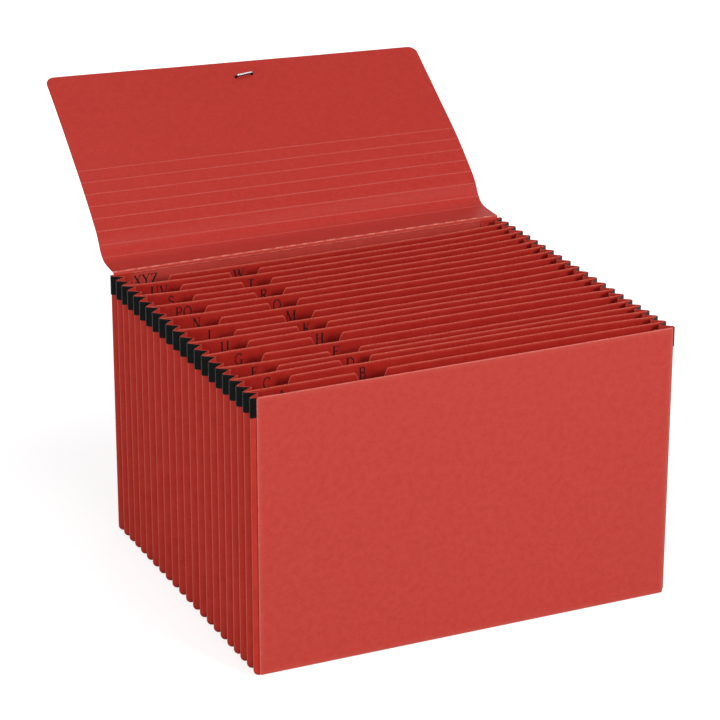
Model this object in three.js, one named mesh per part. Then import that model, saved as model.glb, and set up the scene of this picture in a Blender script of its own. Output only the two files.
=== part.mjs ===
// Expanding file for legal-size papers, standing open with its flap laid back.
// Millimetres. +X is the file's right, -Y its front, +Z up, and it stands on its base at Z 0.
// A pleated gusset runs down one side, under the file and up the other side. Twenty dividers
// stand in its outward folds, so that they and the two covers make twenty-one pockets.
import * as THREE from "three";

// Overall sizes of the file without its flap
const FILE_WIDTH = 381;
const FILE_HEIGHT = 243;
const FOLD_SPAN = 312;
const POCKET_COUNT = 21;

// The middle pockets stand wider than the mean by this share, and the outer ones narrower
const PITCH_SWELL = 0.077;

// Sheet thicknesses and the clearance between sheets that touch
const GUSSET_PAPER = 0.6;
const DIVIDER_PAPER = 0.6;
const COVER_BOARD = 0.8;
const TAPE_FILM = 0.3;
const SEAT_GAP = 0.3;

// Pleats: each leg's length from fold to fold, and half the width of an outward fold's worn land
const PLEAT_LEG = 11.1;
const FOLD_LAND_HALF = 0.9;
const GLUE_FLANGE = 20;
const OUTER_CORNER_RADIUS = 4.5;
const INNER_CORNER_RADIUS = 1.5;
const CORNER_STEPS = 3;

// Black tape over the top of the gusset's two sides
const TAPE_HEIGHT = 17;

// Covers: how far each stands in from the gusset's side folds
const FRONT_COVER_LEFT_INSET = 4.6;
const FRONT_COVER_RIGHT_INSET = 1.2;
const BACK_COVER_INSET = 3;
const COVER_CORNER_RADIUS = 2;

// Crease between back cover and flap: its height over the gusset, and the board left out each side
const CREASE_RISE = 2;
const CREASE_COVER_GAP = 0.5;
const CREASE_FLAP_GAP = 1;

// Flap: its length from the crease, its corners and its pressed score lines
const FLAP_LENGTH = 218;
const FLAP_CORNER_RADIUS = 8;
const SCORE_COUNT = 8;
const FIRST_SCORE = 28;
const SCORE_SPACING = 12.4;
const SCORE_HALF_WIDTH = 0.7;
const SCORE_HEIGHT = 0.25;

// The open flap's slope in degrees at shares of its length, down its left and right edges
const FLAP_LEFT_SLOPES = [[0, 0], [0.07, 6], [0.185, 61], [0.27, 45], [0.6, 40], [1, 37.5]];
const FLAP_RIGHT_SLOPES = [[0, 0], [0.1, 3], [0.215, 61], [0.3, 41.5], [0.6, 34], [1, 33.5]];
const FLAP_WALK_STEPS = 160;

// Metal clip that ends the closing cord, on the flap's inner face
const CLIP_LENGTH = 19;
const CLIP_WIRE_RADIUS = 1.1;
const CLIP_RISE = 2.9;
const CLIP_BEND = 1.6;
const CLIP_FROM_EDGE = 17.5;
const CLIP_OFF_CENTRE = 3;
const CLIP_SECTION_SIDES = 10;
const CLIP_PATH_STEPS = 24;

// Divider tops: the cut that shows the index letters of the sheet behind
const NOTCH_DEPTH = 12.7;
const NOTCH_SLOPE = 7;
const CENTRE_NOTCH_LEFT = -94;
const CENTRE_NOTCH_RIGHT = -64;
const LEFT_CUT_END = -141.5;
const SLOPE_STEPS = 4;
const DIVIDER_COLUMNS = 7;
const DIVIDER_ROWS = 3;

// How far each divider's top bows towards the back, from the front divider to the rear one
const DIVIDER_BOWS = [1, 5, 4, 0, -4, -1, 2, 1, -1, -5, -5, -4, -4, -5, -6, -7, -7, -7, -7, -7];

// Colours and finishes
const BOARD_RED = { color: 0xc2493f, roughness: 0.62, metalness: 0 };
const PAPER_RED = { color: 0xa83a32, roughness: 0.75, metalness: 0 };
const TAPE_BLACK = { color: 0x16171a, roughness: 0.55, metalness: 0 };
const CLIP_STEEL = { color: 0xcfd1d4, roughness: 0.25, metalness: 1 };

const HALF_WIDTH = FILE_WIDTH / 2;
const CREASE_HEIGHT = FILE_HEIGHT + CREASE_RISE;

// Depths of the outward folds, from the back cover's to the front cover's
const foldDepths = [];
for (let i = 0; i <= POCKET_COUNT; i += 1) {
  const u = 1 - 2 * i / POCKET_COUNT;
  foldDepths.push((u + PITCH_SWELL * Math.sin(Math.PI * u) / Math.PI) * FOLD_SPAN / 2);
}
const backFold = foldDepths[0];
const frontFold = foldDepths[POCKET_COUNT];

// The covers' planes: each cover lies on the outer face of the gusset's glue flange
const flangeFace = FOLD_LAND_HALF + GUSSET_PAPER / 2;
const backCoverMiddle = backFold + flangeFace + SEAT_GAP + COVER_BOARD / 2;
const frontCoverMiddle = frontFold - flangeFace - SEAT_GAP - COVER_BOARD / 2;

// A closed mesh from a row of stations. Each station holds as many points on its outer face
// as on its inner face, and neighbouring stations are joined all round. Both faces are split
// along the same diagonals, so that a twisted sheet keeps its thickness.
function sheetGeometry(stations) {
  const perFace = stations[0].outer.length;
  const ringSize = 2 * perFace;
  const positions = [];
  for (const station of stations) {
    for (const point of [...station.outer, ...[...station.inner].reverse()]) {
      positions.push(point.x, point.y, point.z);
    }
  }
  const triangles = [];
  const quad = (a, b, c, d) => triangles.push(a, b, c, a, c, d);
  for (let s = 0; s + 1 < stations.length; s += 1) {
    const here = s * ringSize;
    const next = here + ringSize;
    for (let k = 0; k < ringSize; k += 1) {
      const k1 = (k + 1) % ringSize;
      if (k < perFace) {
        quad(here + k, here + k1, next + k1, next + k);
      } else {
        quad(here + k1, next + k1, next + k, here + k);
      }
    }
  }
  const last = (stations.length - 1) * ringSize;
  for (let k = 0; k + 1 < perFace; k += 1) {
    const opposite = ringSize - 1 - k;
    quad(k, opposite, opposite - 1, k + 1);
    quad(last + k, last + k + 1, last + opposite - 1, last + opposite);
  }
  if (signedVolume(positions, triangles) < 0) {
    triangles.reverse();
  }
  const geometry = new THREE.BufferGeometry();
  geometry.setAttribute("position", new THREE.Float32BufferAttribute(positions, 3));
  geometry.setIndex(triangles);
  geometry.computeVertexNormals();
  return geometry;
}

function signedVolume(positions, triangles) {
  const corner = (index) => new THREE.Vector3().fromArray(positions, 3 * index);
  let volume = 0;
  for (let t = 0; t < triangles.length; t += 3) {
    const [a, b, c] = [corner(triangles[t]), corner(triangles[t + 1]), corner(triangles[t + 2])];
    volume += a.dot(b.cross(c)) / 6;
  }
  return volume;
}

// Moves a line of [depth, inset] points sideways by a distance, with mitred corners.
// A positive distance moves it towards the pockets.
function offsetLine(points, distance) {
  const normals = [];
  for (let i = 0; i + 1 < points.length; i += 1) {
    const along = [points[i + 1][0] - points[i][0], points[i + 1][1] - points[i][1]];
    const length = Math.hypot(...along);
    normals.push([along[1] / length, -along[0] / length]);
  }
  return points.map(([depth, inset], i) => {
    const before = normals[Math.max(i - 1, 0)];
    const after = normals[Math.min(i, normals.length - 1)];
    const scale = distance / (1 + before[0] * after[0] + before[1] * after[1]);
    return [depth + (before[0] + after[0]) * scale, inset + (before[1] + after[1]) * scale];
  });
}

// How far a pocket's inward fold stands in from its two outward folds
function pleatDepth(pocket) {
  const halfPitch = (foldDepths[pocket] - foldDepths[pocket + 1]) / 2 - FOLD_LAND_HALF;
  return Math.sqrt(PLEAT_LEG ** 2 - halfPitch ** 2);
}

// The middle of the gusset's paper in section, from the back flange to the front flange
function pleatLine(backFlange, frontFlange) {
  const middle = GUSSET_PAPER / 2;
  const points = [[backFold + FOLD_LAND_HALF, backFlange]];
  foldDepths.forEach((depth, i) => {
    points.push([depth + FOLD_LAND_HALF, middle], [depth - FOLD_LAND_HALF, middle]);
    if (i < POCKET_COUNT) {
      points.push([(depth + foldDepths[i + 1]) / 2, middle + pleatDepth(i)]);
    }
  });
  points.push([frontFold - FOLD_LAND_HALF, frontFlange]);
  return points;
}

// The corner between a side and the base is tighter for the inward folds than for the outward
function cornerRadius(inset) {
  const share = THREE.MathUtils.clamp(inset / pleatDepth(0), 0, 1);
  return THREE.MathUtils.lerp(OUTER_CORNER_RADIUS, INNER_CORNER_RADIUS, share);
}

// One row of points of the gusset: the section swept to a place on its way round the file
function gussetPoint([depth, inset], side, turn) {
  const radius = cornerRadius(inset);
  const x = HALF_WIDTH - inset - radius * (1 - Math.cos(turn));
  const z = inset + radius * (1 - Math.sin(turn));
  return new THREE.Vector3(side * x, depth, z);
}

function gusset() {
  const line = pleatLine(GLUE_FLANGE, GLUE_FLANGE);
  const outerLine = offsetLine(line, -GUSSET_PAPER / 2);
  const innerLine = offsetLine(line, GUSSET_PAPER / 2);
  const station = (place) => ({ outer: outerLine.map(place), inner: innerLine.map(place) });
  const top = (side) => ([depth, inset]) => {
    return new THREE.Vector3(side * (HALF_WIDTH - inset), depth, FILE_HEIGHT);
  };
  const stations = [station(top(-1))];
  for (let k = 0; k <= CORNER_STEPS; k += 1) {
    const turn = k / CORNER_STEPS * Math.PI / 2;
    stations.push(station((point) => gussetPoint(point, -1, turn)));
  }
  for (let k = CORNER_STEPS; k >= 0; k -= 1) {
    const turn = k / CORNER_STEPS * Math.PI / 2;
    stations.push(station((point) => gussetPoint(point, 1, turn)));
  }
  stations.push(station(top(1)));
  return sheetGeometry(stations);
}

// Black tape on the outside of one side's pleats, from the back cover's edge to the front's
function edgeTape(side, frontInset) {
  const line = pleatLine(BACK_COVER_INSET - SEAT_GAP, frontInset - SEAT_GAP);
  const standOff = GUSSET_PAPER / 2 + SEAT_GAP;
  const innerLine = offsetLine(line, -standOff);
  const outerLine = offsetLine(line, -standOff - TAPE_FILM);
  const stations = [FILE_HEIGHT - TAPE_HEIGHT, FILE_HEIGHT].map((z) => {
    const place = ([depth, inset]) => new THREE.Vector3(side * (HALF_WIDTH - inset), depth, z);
    return { outer: outerLine.map(place), inner: innerLine.map(place) };
  });
  return sheetGeometry(stations);
}

// A flat board with rounded corners, standing across the file at one depth
function coverBoard(leftInset, rightInset, middleDepth, height) {
  const left = leftInset - HALF_WIDTH;
  const right = HALF_WIDTH - rightInset;
  const stations = [];
  const column = (x, trim) => {
    const face = (depth) => [
      new THREE.Vector3(x, depth, trim),
      new THREE.Vector3(x, depth, height - trim),
    ];
    stations.push({
      outer: face(middleDepth - COVER_BOARD / 2),
      inner: face(middleDepth + COVER_BOARD / 2),
    });
  };
  for (let k = 0; k <= CORNER_STEPS; k += 1) {
    const turn = k / CORNER_STEPS * Math.PI / 2;
    const trim = COVER_CORNER_RADIUS * (1 - Math.sin(turn));
    column(left + COVER_CORNER_RADIUS * (1 - Math.cos(turn)), trim);
  }
  for (let k = CORNER_STEPS; k >= 0; k -= 1) {
    const turn = k / CORNER_STEPS * Math.PI / 2;
    const trim = COVER_CORNER_RADIUS * (1 - Math.sin(turn));
    column(right - COVER_CORNER_RADIUS * (1 - Math.cos(turn)), trim);
  }
  return sheetGeometry(stations);
}

// Share of the notch depth that is cut away at x, for a divider with or without its left end cut
function notchShare(x, cutLeftEnd) {
  const ease = (from) => THREE.MathUtils.smoothstep(x, from, from + NOTCH_SLOPE);
  if (cutLeftEnd) {
    return 1 - ease(LEFT_CUT_END - NOTCH_SLOPE);
  }
  return ease(CENTRE_NOTCH_LEFT) - ease(CENTRE_NOTCH_RIGHT - NOTCH_SLOPE);
}

// A divider stands in an outward fold of the gusset and is bowed by its papers towards the top
function divider(foldIndex, bow, cutLeftEnd) {
  const edgeInset = GUSSET_PAPER + SEAT_GAP;
  const halfWidth = HALF_WIDTH - edgeInset;
  const radius = cornerRadius(GUSSET_PAPER) - SEAT_GAP;
  const columns = [];
  const arc = (side, turn) => columns.push({
    x: side * (halfWidth - radius * (1 - Math.cos(turn))),
    base: edgeInset + radius * (1 - Math.sin(turn)),
  });
  for (let k = 0; k <= CORNER_STEPS; k += 1) {
    arc(-1, k / CORNER_STEPS * Math.PI / 2);
    arc(1, k / CORNER_STEPS * Math.PI / 2);
  }
  const slopes = cutLeftEnd
    ? [LEFT_CUT_END - NOTCH_SLOPE]
    : [CENTRE_NOTCH_LEFT, CENTRE_NOTCH_RIGHT - NOTCH_SLOPE];
  for (const from of slopes) {
    for (let k = 0; k <= SLOPE_STEPS; k += 1) {
      columns.push({ x: from + NOTCH_SLOPE * k / SLOPE_STEPS, base: edgeInset });
    }
  }
  for (let k = 1; k < DIVIDER_COLUMNS; k += 1) {
    const x = halfWidth * (2 * k / DIVIDER_COLUMNS - 1);
    if (columns.every((other) => Math.abs(other.x - x) > NOTCH_SLOPE)) {
      columns.push({ x, base: edgeInset });
    }
  }
  columns.sort((a, b) => a.x - b.x);
  const stations = columns.map(({ x, base }) => {
    const top = FILE_HEIGHT - NOTCH_DEPTH * notchShare(x, cutLeftEnd);
    const across = 1 - (x / halfWidth) ** 4;
    const face = (offset) => Array.from({ length: DIVIDER_ROWS + 1 }, (_, row) => {
      const z = base + (top - base) * row / DIVIDER_ROWS;
      const depth = foldDepths[foldIndex] + bow * across * (z / FILE_HEIGHT) ** 2;
      return new THREE.Vector3(x, depth + offset, z);
    });
    return { outer: face(-DIVIDER_PAPER / 2), inner: face(DIVIDER_PAPER / 2) };
  });
  return sheetGeometry(stations);
}

// Slope of the flap at a distance from the crease, eased between the measured slopes
function slopeAt(slopes, distance) {
  const out = THREE.MathUtils.clamp(distance / FLAP_LENGTH, 0, 1);
  const next = Math.max(1, slopes.findIndex(([at]) => at >= out));
  const [fromAt, fromSlope] = slopes[next - 1];
  const [toAt, toSlope] = slopes[next];
  const share = THREE.MathUtils.smoothstep(out, fromAt, toAt);
  return THREE.MathUtils.degToRad(THREE.MathUtils.lerp(fromSlope, toSlope, share));
}

// A place on one edge of the flap, walked out from the crease in short steps
function flapEdge(slopes, distance) {
  const stride = distance / FLAP_WALK_STEPS;
  let depth = backCoverMiddle;
  let height = CREASE_HEIGHT;
  for (let k = 0; k < FLAP_WALK_STEPS; k += 1) {
    const slope = slopeAt(slopes, (k + 0.5) * stride);
    depth += stride * Math.cos(slope);
    height += stride * Math.sin(slope);
  }
  return { depth, height, slope: slopeAt(slopes, distance) };
}

// A point of the flap: share runs from its left edge to its right, lift is above its middle
function flapPoint(distance, share, lift) {
  const [left, right] = [FLAP_LEFT_SLOPES, FLAP_RIGHT_SLOPES].map((slopes) => {
    return flapEdge(slopes, distance);
  });
  const slope = THREE.MathUtils.lerp(left.slope, right.slope, share);
  const halfWidth = HALF_WIDTH - BACK_COVER_INSET;
  return new THREE.Vector3(
    THREE.MathUtils.lerp(-halfWidth, halfWidth, share),
    THREE.MathUtils.lerp(left.depth, right.depth, share) - lift * Math.sin(slope),
    THREE.MathUtils.lerp(left.height, right.height, share) + lift * Math.cos(slope),
  );
}

// Distances from the crease at which the flap's section is drawn, and the ridge height there
function flapStations() {
  const stations = [];
  const spread = (from, to, count) => {
    for (let k = 0; k < count; k += 1) {
      stations.push({ distance: from + (to - from) * k / count, ridge: 0 });
    }
  };
  let reached = CREASE_FLAP_GAP;
  for (let k = 0; k < SCORE_COUNT; k += 1) {
    const score = FIRST_SCORE + k * SCORE_SPACING;
    spread(reached, score - SCORE_HALF_WIDTH, 3);
    stations.push({ distance: score - SCORE_HALF_WIDTH, ridge: 0 });
    stations.push({ distance: score, ridge: SCORE_HEIGHT });
    reached = score + SCORE_HALF_WIDTH;
  }
  const cornerStart = FLAP_LENGTH - FLAP_CORNER_RADIUS;
  spread(reached, cornerStart, 5);
  const cornerSteps = 2 * CORNER_STEPS;
  for (let k = 0; k <= cornerSteps; k += 1) {
    const turn = k / cornerSteps * Math.PI / 2;
    stations.push({ distance: cornerStart + FLAP_CORNER_RADIUS * Math.sin(turn), ridge: 0 });
  }
  return stations;
}

function flap() {
  const width = FILE_WIDTH - 2 * BACK_COVER_INSET;
  const stations = flapStations().map(({ distance, ridge }) => {
    const past = Math.max(0, distance - (FLAP_LENGTH - FLAP_CORNER_RADIUS));
    const inset = FLAP_CORNER_RADIUS - Math.sqrt(FLAP_CORNER_RADIUS ** 2 - past ** 2 + 1e-9);
    const share = Math.max(0, inset) / width;
    const edge = (lift) => [flapPoint(distance, share, lift), flapPoint(distance, 1 - share, lift)];
    return { outer: edge(-COVER_BOARD / 2), inner: edge(COVER_BOARD / 2 + ridge) };
  });
  return sheetGeometry(stations);
}

// A bent wire bar that stands on the flap's inner face, drawn flat and then laid on the flap
function flapClip() {
  const reach = CLIP_LENGTH / 2 - CLIP_WIRE_RADIUS;
  const path = new THREE.CatmullRomCurve3([
    new THREE.Vector3(-reach, 0, SEAT_GAP),
    new THREE.Vector3(-reach, 0, CLIP_RISE - CLIP_BEND),
    new THREE.Vector3(CLIP_BEND - reach, 0, CLIP_RISE),
    new THREE.Vector3(0, 0, CLIP_RISE),
    new THREE.Vector3(reach - CLIP_BEND, 0, CLIP_RISE),
    new THREE.Vector3(reach, 0, CLIP_RISE - CLIP_BEND),
    new THREE.Vector3(reach, 0, SEAT_GAP),
  ], false, "centripetal");
  const section = new THREE.Shape();
  for (let k = 0; k < CLIP_SECTION_SIDES; k += 1) {
    const turn = 2 * Math.PI * k / CLIP_SECTION_SIDES;
    const point = [CLIP_WIRE_RADIUS * Math.cos(turn), CLIP_WIRE_RADIUS * Math.sin(turn)];
    if (k === 0) {
      section.moveTo(...point);
    } else {
      section.lineTo(...point);
    }
  }
  section.closePath();
  return new THREE.ExtrudeGeometry(section, {
    extrudePath: path,
    steps: CLIP_PATH_STEPS,
    bevelEnabled: false,
  });
}

function layOnFlap(mesh) {
  const distance = FLAP_LENGTH - CLIP_FROM_EDGE;
  const share = 0.5 + CLIP_OFF_CENTRE / (FILE_WIDTH - 2 * BACK_COVER_INSET);
  const across = flapPoint(distance, 1, 0).sub(flapPoint(distance, 0, 0)).normalize();
  const up = flapPoint(distance, share, 1).sub(flapPoint(distance, share, 0));
  const along = up.clone().cross(across).normalize();
  const facing = across.clone().cross(along).normalize();
  mesh.quaternion.setFromRotationMatrix(new THREE.Matrix4().makeBasis(across, along, facing));
  mesh.position.copy(flapPoint(distance, share, COVER_BOARD / 2));
}

function part(name, geometry, finish) {
  const mesh = new THREE.Mesh(geometry, new THREE.MeshStandardMaterial(finish));
  mesh.name = name;
  return mesh;
}

const file = new THREE.Group();
file.add(part("gusset", gusset(), PAPER_RED));
file.add(part("left_edge_tape", edgeTape(-1, FRONT_COVER_LEFT_INSET), TAPE_BLACK));
file.add(part("right_edge_tape", edgeTape(1, FRONT_COVER_RIGHT_INSET), TAPE_BLACK));

const frontBoard = coverBoard(
  FRONT_COVER_LEFT_INSET, FRONT_COVER_RIGHT_INSET, frontCoverMiddle, FILE_HEIGHT);
file.add(part("front_cover", frontBoard, BOARD_RED));

const backBoard = coverBoard(
  BACK_COVER_INSET, BACK_COVER_INSET, backCoverMiddle, CREASE_HEIGHT - CREASE_COVER_GAP);
file.add(part("back_cover", backBoard, BOARD_RED));

// Dividers are numbered from the front. The odd ones have the centre notch, the even ones the
// left end cut away, so that each shows the index letter on the sheet behind it.
for (let number = 1; number < POCKET_COUNT; number += 1) {
  const name = `divider_${String(number).padStart(2, "0")}`;
  const bow = DIVIDER_BOWS[(number - 1) % DIVIDER_BOWS.length];
  const sheet = divider(POCKET_COUNT - number, bow, number % 2 === 0);
  file.add(part(name, sheet, PAPER_RED));
}

file.add(part("flap", flap(), BOARD_RED));
const clip = part("flap_clip", flapClip(), CLIP_STEEL);
layOnFlap(clip);
file.add(clip);

// The origin is under the middle of the whole object's box, with the open flap in it
const box = new THREE.Box3().setFromObject(file, true);
file.position.y = -(box.min.y + box.max.y) / 2;

const model = new THREE.Group();
model.add(file);

export default model;
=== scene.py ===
"""Looks of the open expanding file: its covers, pleated gusset, dividers, flap and clip.

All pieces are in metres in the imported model's frame: X to the file's right, Y to its back, Z up.
Sizes inside the classes are in millimetres, as a paper-goods maker would write them.
"""

import logging
import math
from dataclasses import dataclass
from enum import Enum
from typing import Callable, Sequence

import bpy
import numpy as np
from mathutils import Matrix, Vector


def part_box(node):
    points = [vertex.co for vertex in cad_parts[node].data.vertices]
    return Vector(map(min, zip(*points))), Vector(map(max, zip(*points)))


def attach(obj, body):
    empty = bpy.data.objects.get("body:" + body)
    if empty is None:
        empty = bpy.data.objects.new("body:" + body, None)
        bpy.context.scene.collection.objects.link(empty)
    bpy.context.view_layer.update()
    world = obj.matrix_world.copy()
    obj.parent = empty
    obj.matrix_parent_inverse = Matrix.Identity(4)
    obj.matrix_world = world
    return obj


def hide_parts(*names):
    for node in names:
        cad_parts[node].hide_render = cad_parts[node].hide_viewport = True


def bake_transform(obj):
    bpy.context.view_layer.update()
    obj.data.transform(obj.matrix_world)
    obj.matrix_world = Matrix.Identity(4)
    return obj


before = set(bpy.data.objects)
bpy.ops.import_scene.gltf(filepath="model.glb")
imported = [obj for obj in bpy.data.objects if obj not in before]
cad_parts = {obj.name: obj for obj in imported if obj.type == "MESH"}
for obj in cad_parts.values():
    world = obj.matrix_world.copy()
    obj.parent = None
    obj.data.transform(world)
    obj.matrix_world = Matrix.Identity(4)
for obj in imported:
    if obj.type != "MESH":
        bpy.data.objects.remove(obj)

MM = 0.001
Triple = tuple[float, float, float]
Colour = Triple
Pair = tuple[float, float]
Grid = np.ndarray
LOG = logging.getLogger("document_file")


class Slot(Enum):
    """The record's finishes, by the name of their slot."""

    BOARD = "cover_board"
    GUSSET = "gusset_paper"
    DIVIDER = "divider_paper"
    TAPE = "edge_tape"
    CLIP = "clip_steel"


class Body(Enum):
    """The two bodies that the pieces ride on."""

    FILE = "file"
    FLAP = "flap"


class Side(Enum):
    """The two sides of the file, as the sign of X."""

    LEFT = -1
    RIGHT = 1


class Sketch:
    """One material's node tree, with short calls for the nodes that the finishes use."""

    def __init__(self, name: str) -> None:
        """Start a material with a Principled shader.

        Args:
            name: the material's name.
        """
        self.material = bpy.data.materials.new(name)
        self.material.use_nodes = True
        self.tree = self.material.node_tree
        self.tree.nodes.clear()
        self.shader = self.add("ShaderNodeBsdfPrincipled")
        output = self.add("ShaderNodeOutputMaterial")
        self.join(self.shader.outputs["BSDF"], output.inputs["Surface"])
        self.place = self.add("ShaderNodeTexCoord").outputs["Object"]

    def add(self, kind: str) -> bpy.types.Node:
        """Add a node of that kind."""
        return self.tree.nodes.new(kind)

    def join(self, source: bpy.types.NodeSocket, target: bpy.types.NodeSocket) -> None:
        """Link an output to an input."""
        self.tree.links.new(source, target)

    def set(self, **values: object) -> None:
        """Set the shader's own sockets, named with underscores for spaces."""
        for name, value in values.items():
            self.shader.inputs[name.replace("_", " ")].default_value = value

    def noise(self, size_mm: float, detail: float = 3.0,
              stretch: Triple = (1, 1, 1)) -> bpy.types.NodeSocket:
        """Noise in the object's own space.

        Args:
            size_mm: size of its largest blobs.
            detail: number of finer octaves.
            stretch: how many times longer the blobs are along each axis.

        Returns:
            The noise's value, about 0.5 in the mean.
        """
        scale = self.add("ShaderNodeVectorMath")
        scale.operation = "MULTIPLY"
        scale.inputs[1].default_value = [1 / (size_mm * MM * share) for share in stretch]
        self.join(self.place, scale.inputs[0])
        texture = self.add("ShaderNodeTexNoise")
        texture.inputs["Scale"].default_value = 1.0
        texture.inputs["Detail"].default_value = detail
        self.join(scale.outputs[0], texture.inputs["Vector"])
        return texture.outputs["Fac"]

    def wear(self) -> bpy.types.NodeSocket:
        """The wear that the mesh carries at each point; on the clip wire it holds painted shade instead.

        Returns:
            The wear, from 0 to 1.
        """
        attribute = self.add("ShaderNodeAttribute")
        attribute.attribute_name = "wear"
        return attribute.outputs["Fac"]

    def span(self, value: bpy.types.NodeSocket, low: float, high: float,
             to_low: float = 0.0, to_high: float = 1.0) -> bpy.types.NodeSocket:
        """Map a range of a value to another range, clamped.

        Args:
            value: the value to map.
            low: the value that becomes to_low.
            high: the value that becomes to_high.
            to_low: result at low.
            to_high: result at high.

        Returns:
            The mapped value.
        """
        node = self.add("ShaderNodeMapRange")
        numbers = {"From Min": low, "From Max": high, "To Min": to_low, "To Max": to_high}
        for name, number in numbers.items():
            node.inputs[name].default_value = number
        self.join(value, node.inputs["Value"])
        return node.outputs["Result"]

    def combine(self, how: str, first: bpy.types.NodeSocket,
                second: bpy.types.NodeSocket | float) -> bpy.types.NodeSocket:
        """A math node on one or two values.

        Args:
            how: the operation's name.
            first: the first value.
            second: the second value, or a number.

        Returns:
            The result, clamped to 0 and 1.
        """
        node = self.add("ShaderNodeMath")
        node.operation = how
        node.use_clamp = True
        self.join(first, node.inputs[0])
        if isinstance(second, (int, float)):
            node.inputs[1].default_value = second
        else:
            self.join(second, node.inputs[1])
        return node.outputs[0]

    def mix(self, share: bpy.types.NodeSocket, first: bpy.types.NodeSocket | Colour,
            second: bpy.types.NodeSocket | Colour) -> bpy.types.NodeSocket:
        """Mix two colours.

        Args:
            share: 0 gives the first, 1 the second.
            first: a colour or a colour socket.
            second: a colour or a colour socket.

        Returns:
            The mixed colour.
        """
        node = self.add("ShaderNodeMix")
        node.data_type = "RGBA"
        self.join(share, node.inputs["Factor"])
        for socket, colour in ((node.inputs[6], first), (node.inputs[7], second)):
            if isinstance(colour, tuple):
                socket.default_value = (*colour, 1.0)
            else:
                self.join(colour, socket)
        return node.outputs[2]

    def bump(self, height: bpy.types.NodeSocket, depth_mm: float, strength: float = 1.0) -> None:
        """Raise the surface by a height, over what was raised before.

        Args:
            height: the height from 0 to 1.
            depth_mm: what a height of 1 stands for.
            strength: share of the effect.
        """
        node = self.add("ShaderNodeBump")
        node.inputs["Distance"].default_value = depth_mm * MM
        node.inputs["Strength"].default_value = strength
        self.join(height, node.inputs["Height"])
        before = self.shader.inputs["Normal"]
        if before.is_linked:
            self.join(before.links[0].from_socket, node.inputs["Normal"])
        self.join(node.outputs["Normal"], before)


@dataclass(frozen=True)
class FibreSheet:
    """Dyed red paper or pressboard: clouded colour, short fibres and pale worn folds and edges.

    A range is the part of a noise's values that is spread over 0 to 1, and a share is how strongly
    its pattern shows.
    """

    name: str
    deep: Colour
    light: Colour
    worn: Colour
    cloud_mm: float = 14.0
    cloud_range: Pair = (0.36, 0.64)
    mottle_mm: float = 2.6
    mottle_range: Pair = (0.38, 0.62)
    mottle_share: float = 0.35
    fibre_mm: float = 0.35
    lying_fibre_stretch: Triple = (9.0, 1.0, 1.5)
    lying_fibre_range: Pair = (0.58, 0.80)
    standing_fibre_stretch: Triple = (1.2, 1.0, 8.0)
    standing_fibre_range: Pair = (0.60, 0.82)
    fibre_share: float = 0.22
    pit_mm: float = 0.9
    pit_range: Pair = (0.30, 0.44)
    pit_share: float = 0.20
    rub_mm: float = 1.6
    rub_range: Pair = (0.30, 0.62)
    least_rub: float = 0.45
    roughness: float = 0.55
    roughness_swing: float = 0.05
    gloss: float = 0.14
    tooth_spacing_mm: float = 0.8
    tooth_mm: float = 0.03
    fibre_tooth_share: float = 0.6

    def colour(self, sketch: Sketch, clouds: bpy.types.NodeSocket,
               fibres: bpy.types.NodeSocket) -> bpy.types.NodeSocket:
        """The dye's colour, with its clouds, mottle, fibres, pits and wear.

        Args:
            sketch: the material's sketch.
            clouds: how light the dye is at each place.
            fibres: where fibres show.

        Returns:
            The colour.
        """
        colour = sketch.mix(clouds, self.deep, self.light)
        mottle = sketch.span(sketch.noise(self.mottle_mm, 3.0), *self.mottle_range)
        colour = sketch.mix(sketch.combine("MULTIPLY", mottle, self.mottle_share), colour, self.light)
        colour = sketch.mix(sketch.combine("MULTIPLY", fibres, self.fibre_share), colour, self.worn)
        pits = sketch.span(sketch.noise(self.pit_mm, 3.0), *self.pit_range, 1.0, 0.0)
        colour = sketch.mix(sketch.combine("MULTIPLY", pits, self.pit_share), colour, self.deep)
        rubbed = sketch.span(sketch.noise(self.rub_mm, 4.0), *self.rub_range, self.least_rub, 1.0)
        wear = sketch.combine("MULTIPLY", sketch.wear(), rubbed)
        return sketch.mix(wear, colour, self.worn)

    def material(self) -> bpy.types.Material:
        """Build the sheet's material.

        Returns:
            The material.
        """
        sketch = Sketch(self.name)
        clouds = sketch.span(sketch.noise(self.cloud_mm, 4.0), *self.cloud_range)
        lying = sketch.noise(self.fibre_mm, 2.0, self.lying_fibre_stretch)
        standing = sketch.noise(self.fibre_mm, 2.0, self.standing_fibre_stretch)
        fibres = sketch.combine("MAXIMUM", sketch.span(lying, *self.lying_fibre_range),
                                sketch.span(standing, *self.standing_fibre_range))
        sketch.join(self.colour(sketch, clouds, fibres), sketch.shader.inputs["Base Color"])
        smooth, dull = self.roughness - self.roughness_swing, self.roughness + self.roughness_swing
        sketch.join(sketch.span(clouds, 0.0, 1.0, smooth, dull), sketch.shader.inputs["Roughness"])
        sketch.set(Specular_IOR_Level=self.gloss)
        sketch.bump(sketch.noise(self.tooth_spacing_mm, 4.0), self.tooth_mm)
        sketch.bump(fibres, self.tooth_mm * self.fibre_tooth_share)
        return sketch.material


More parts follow.
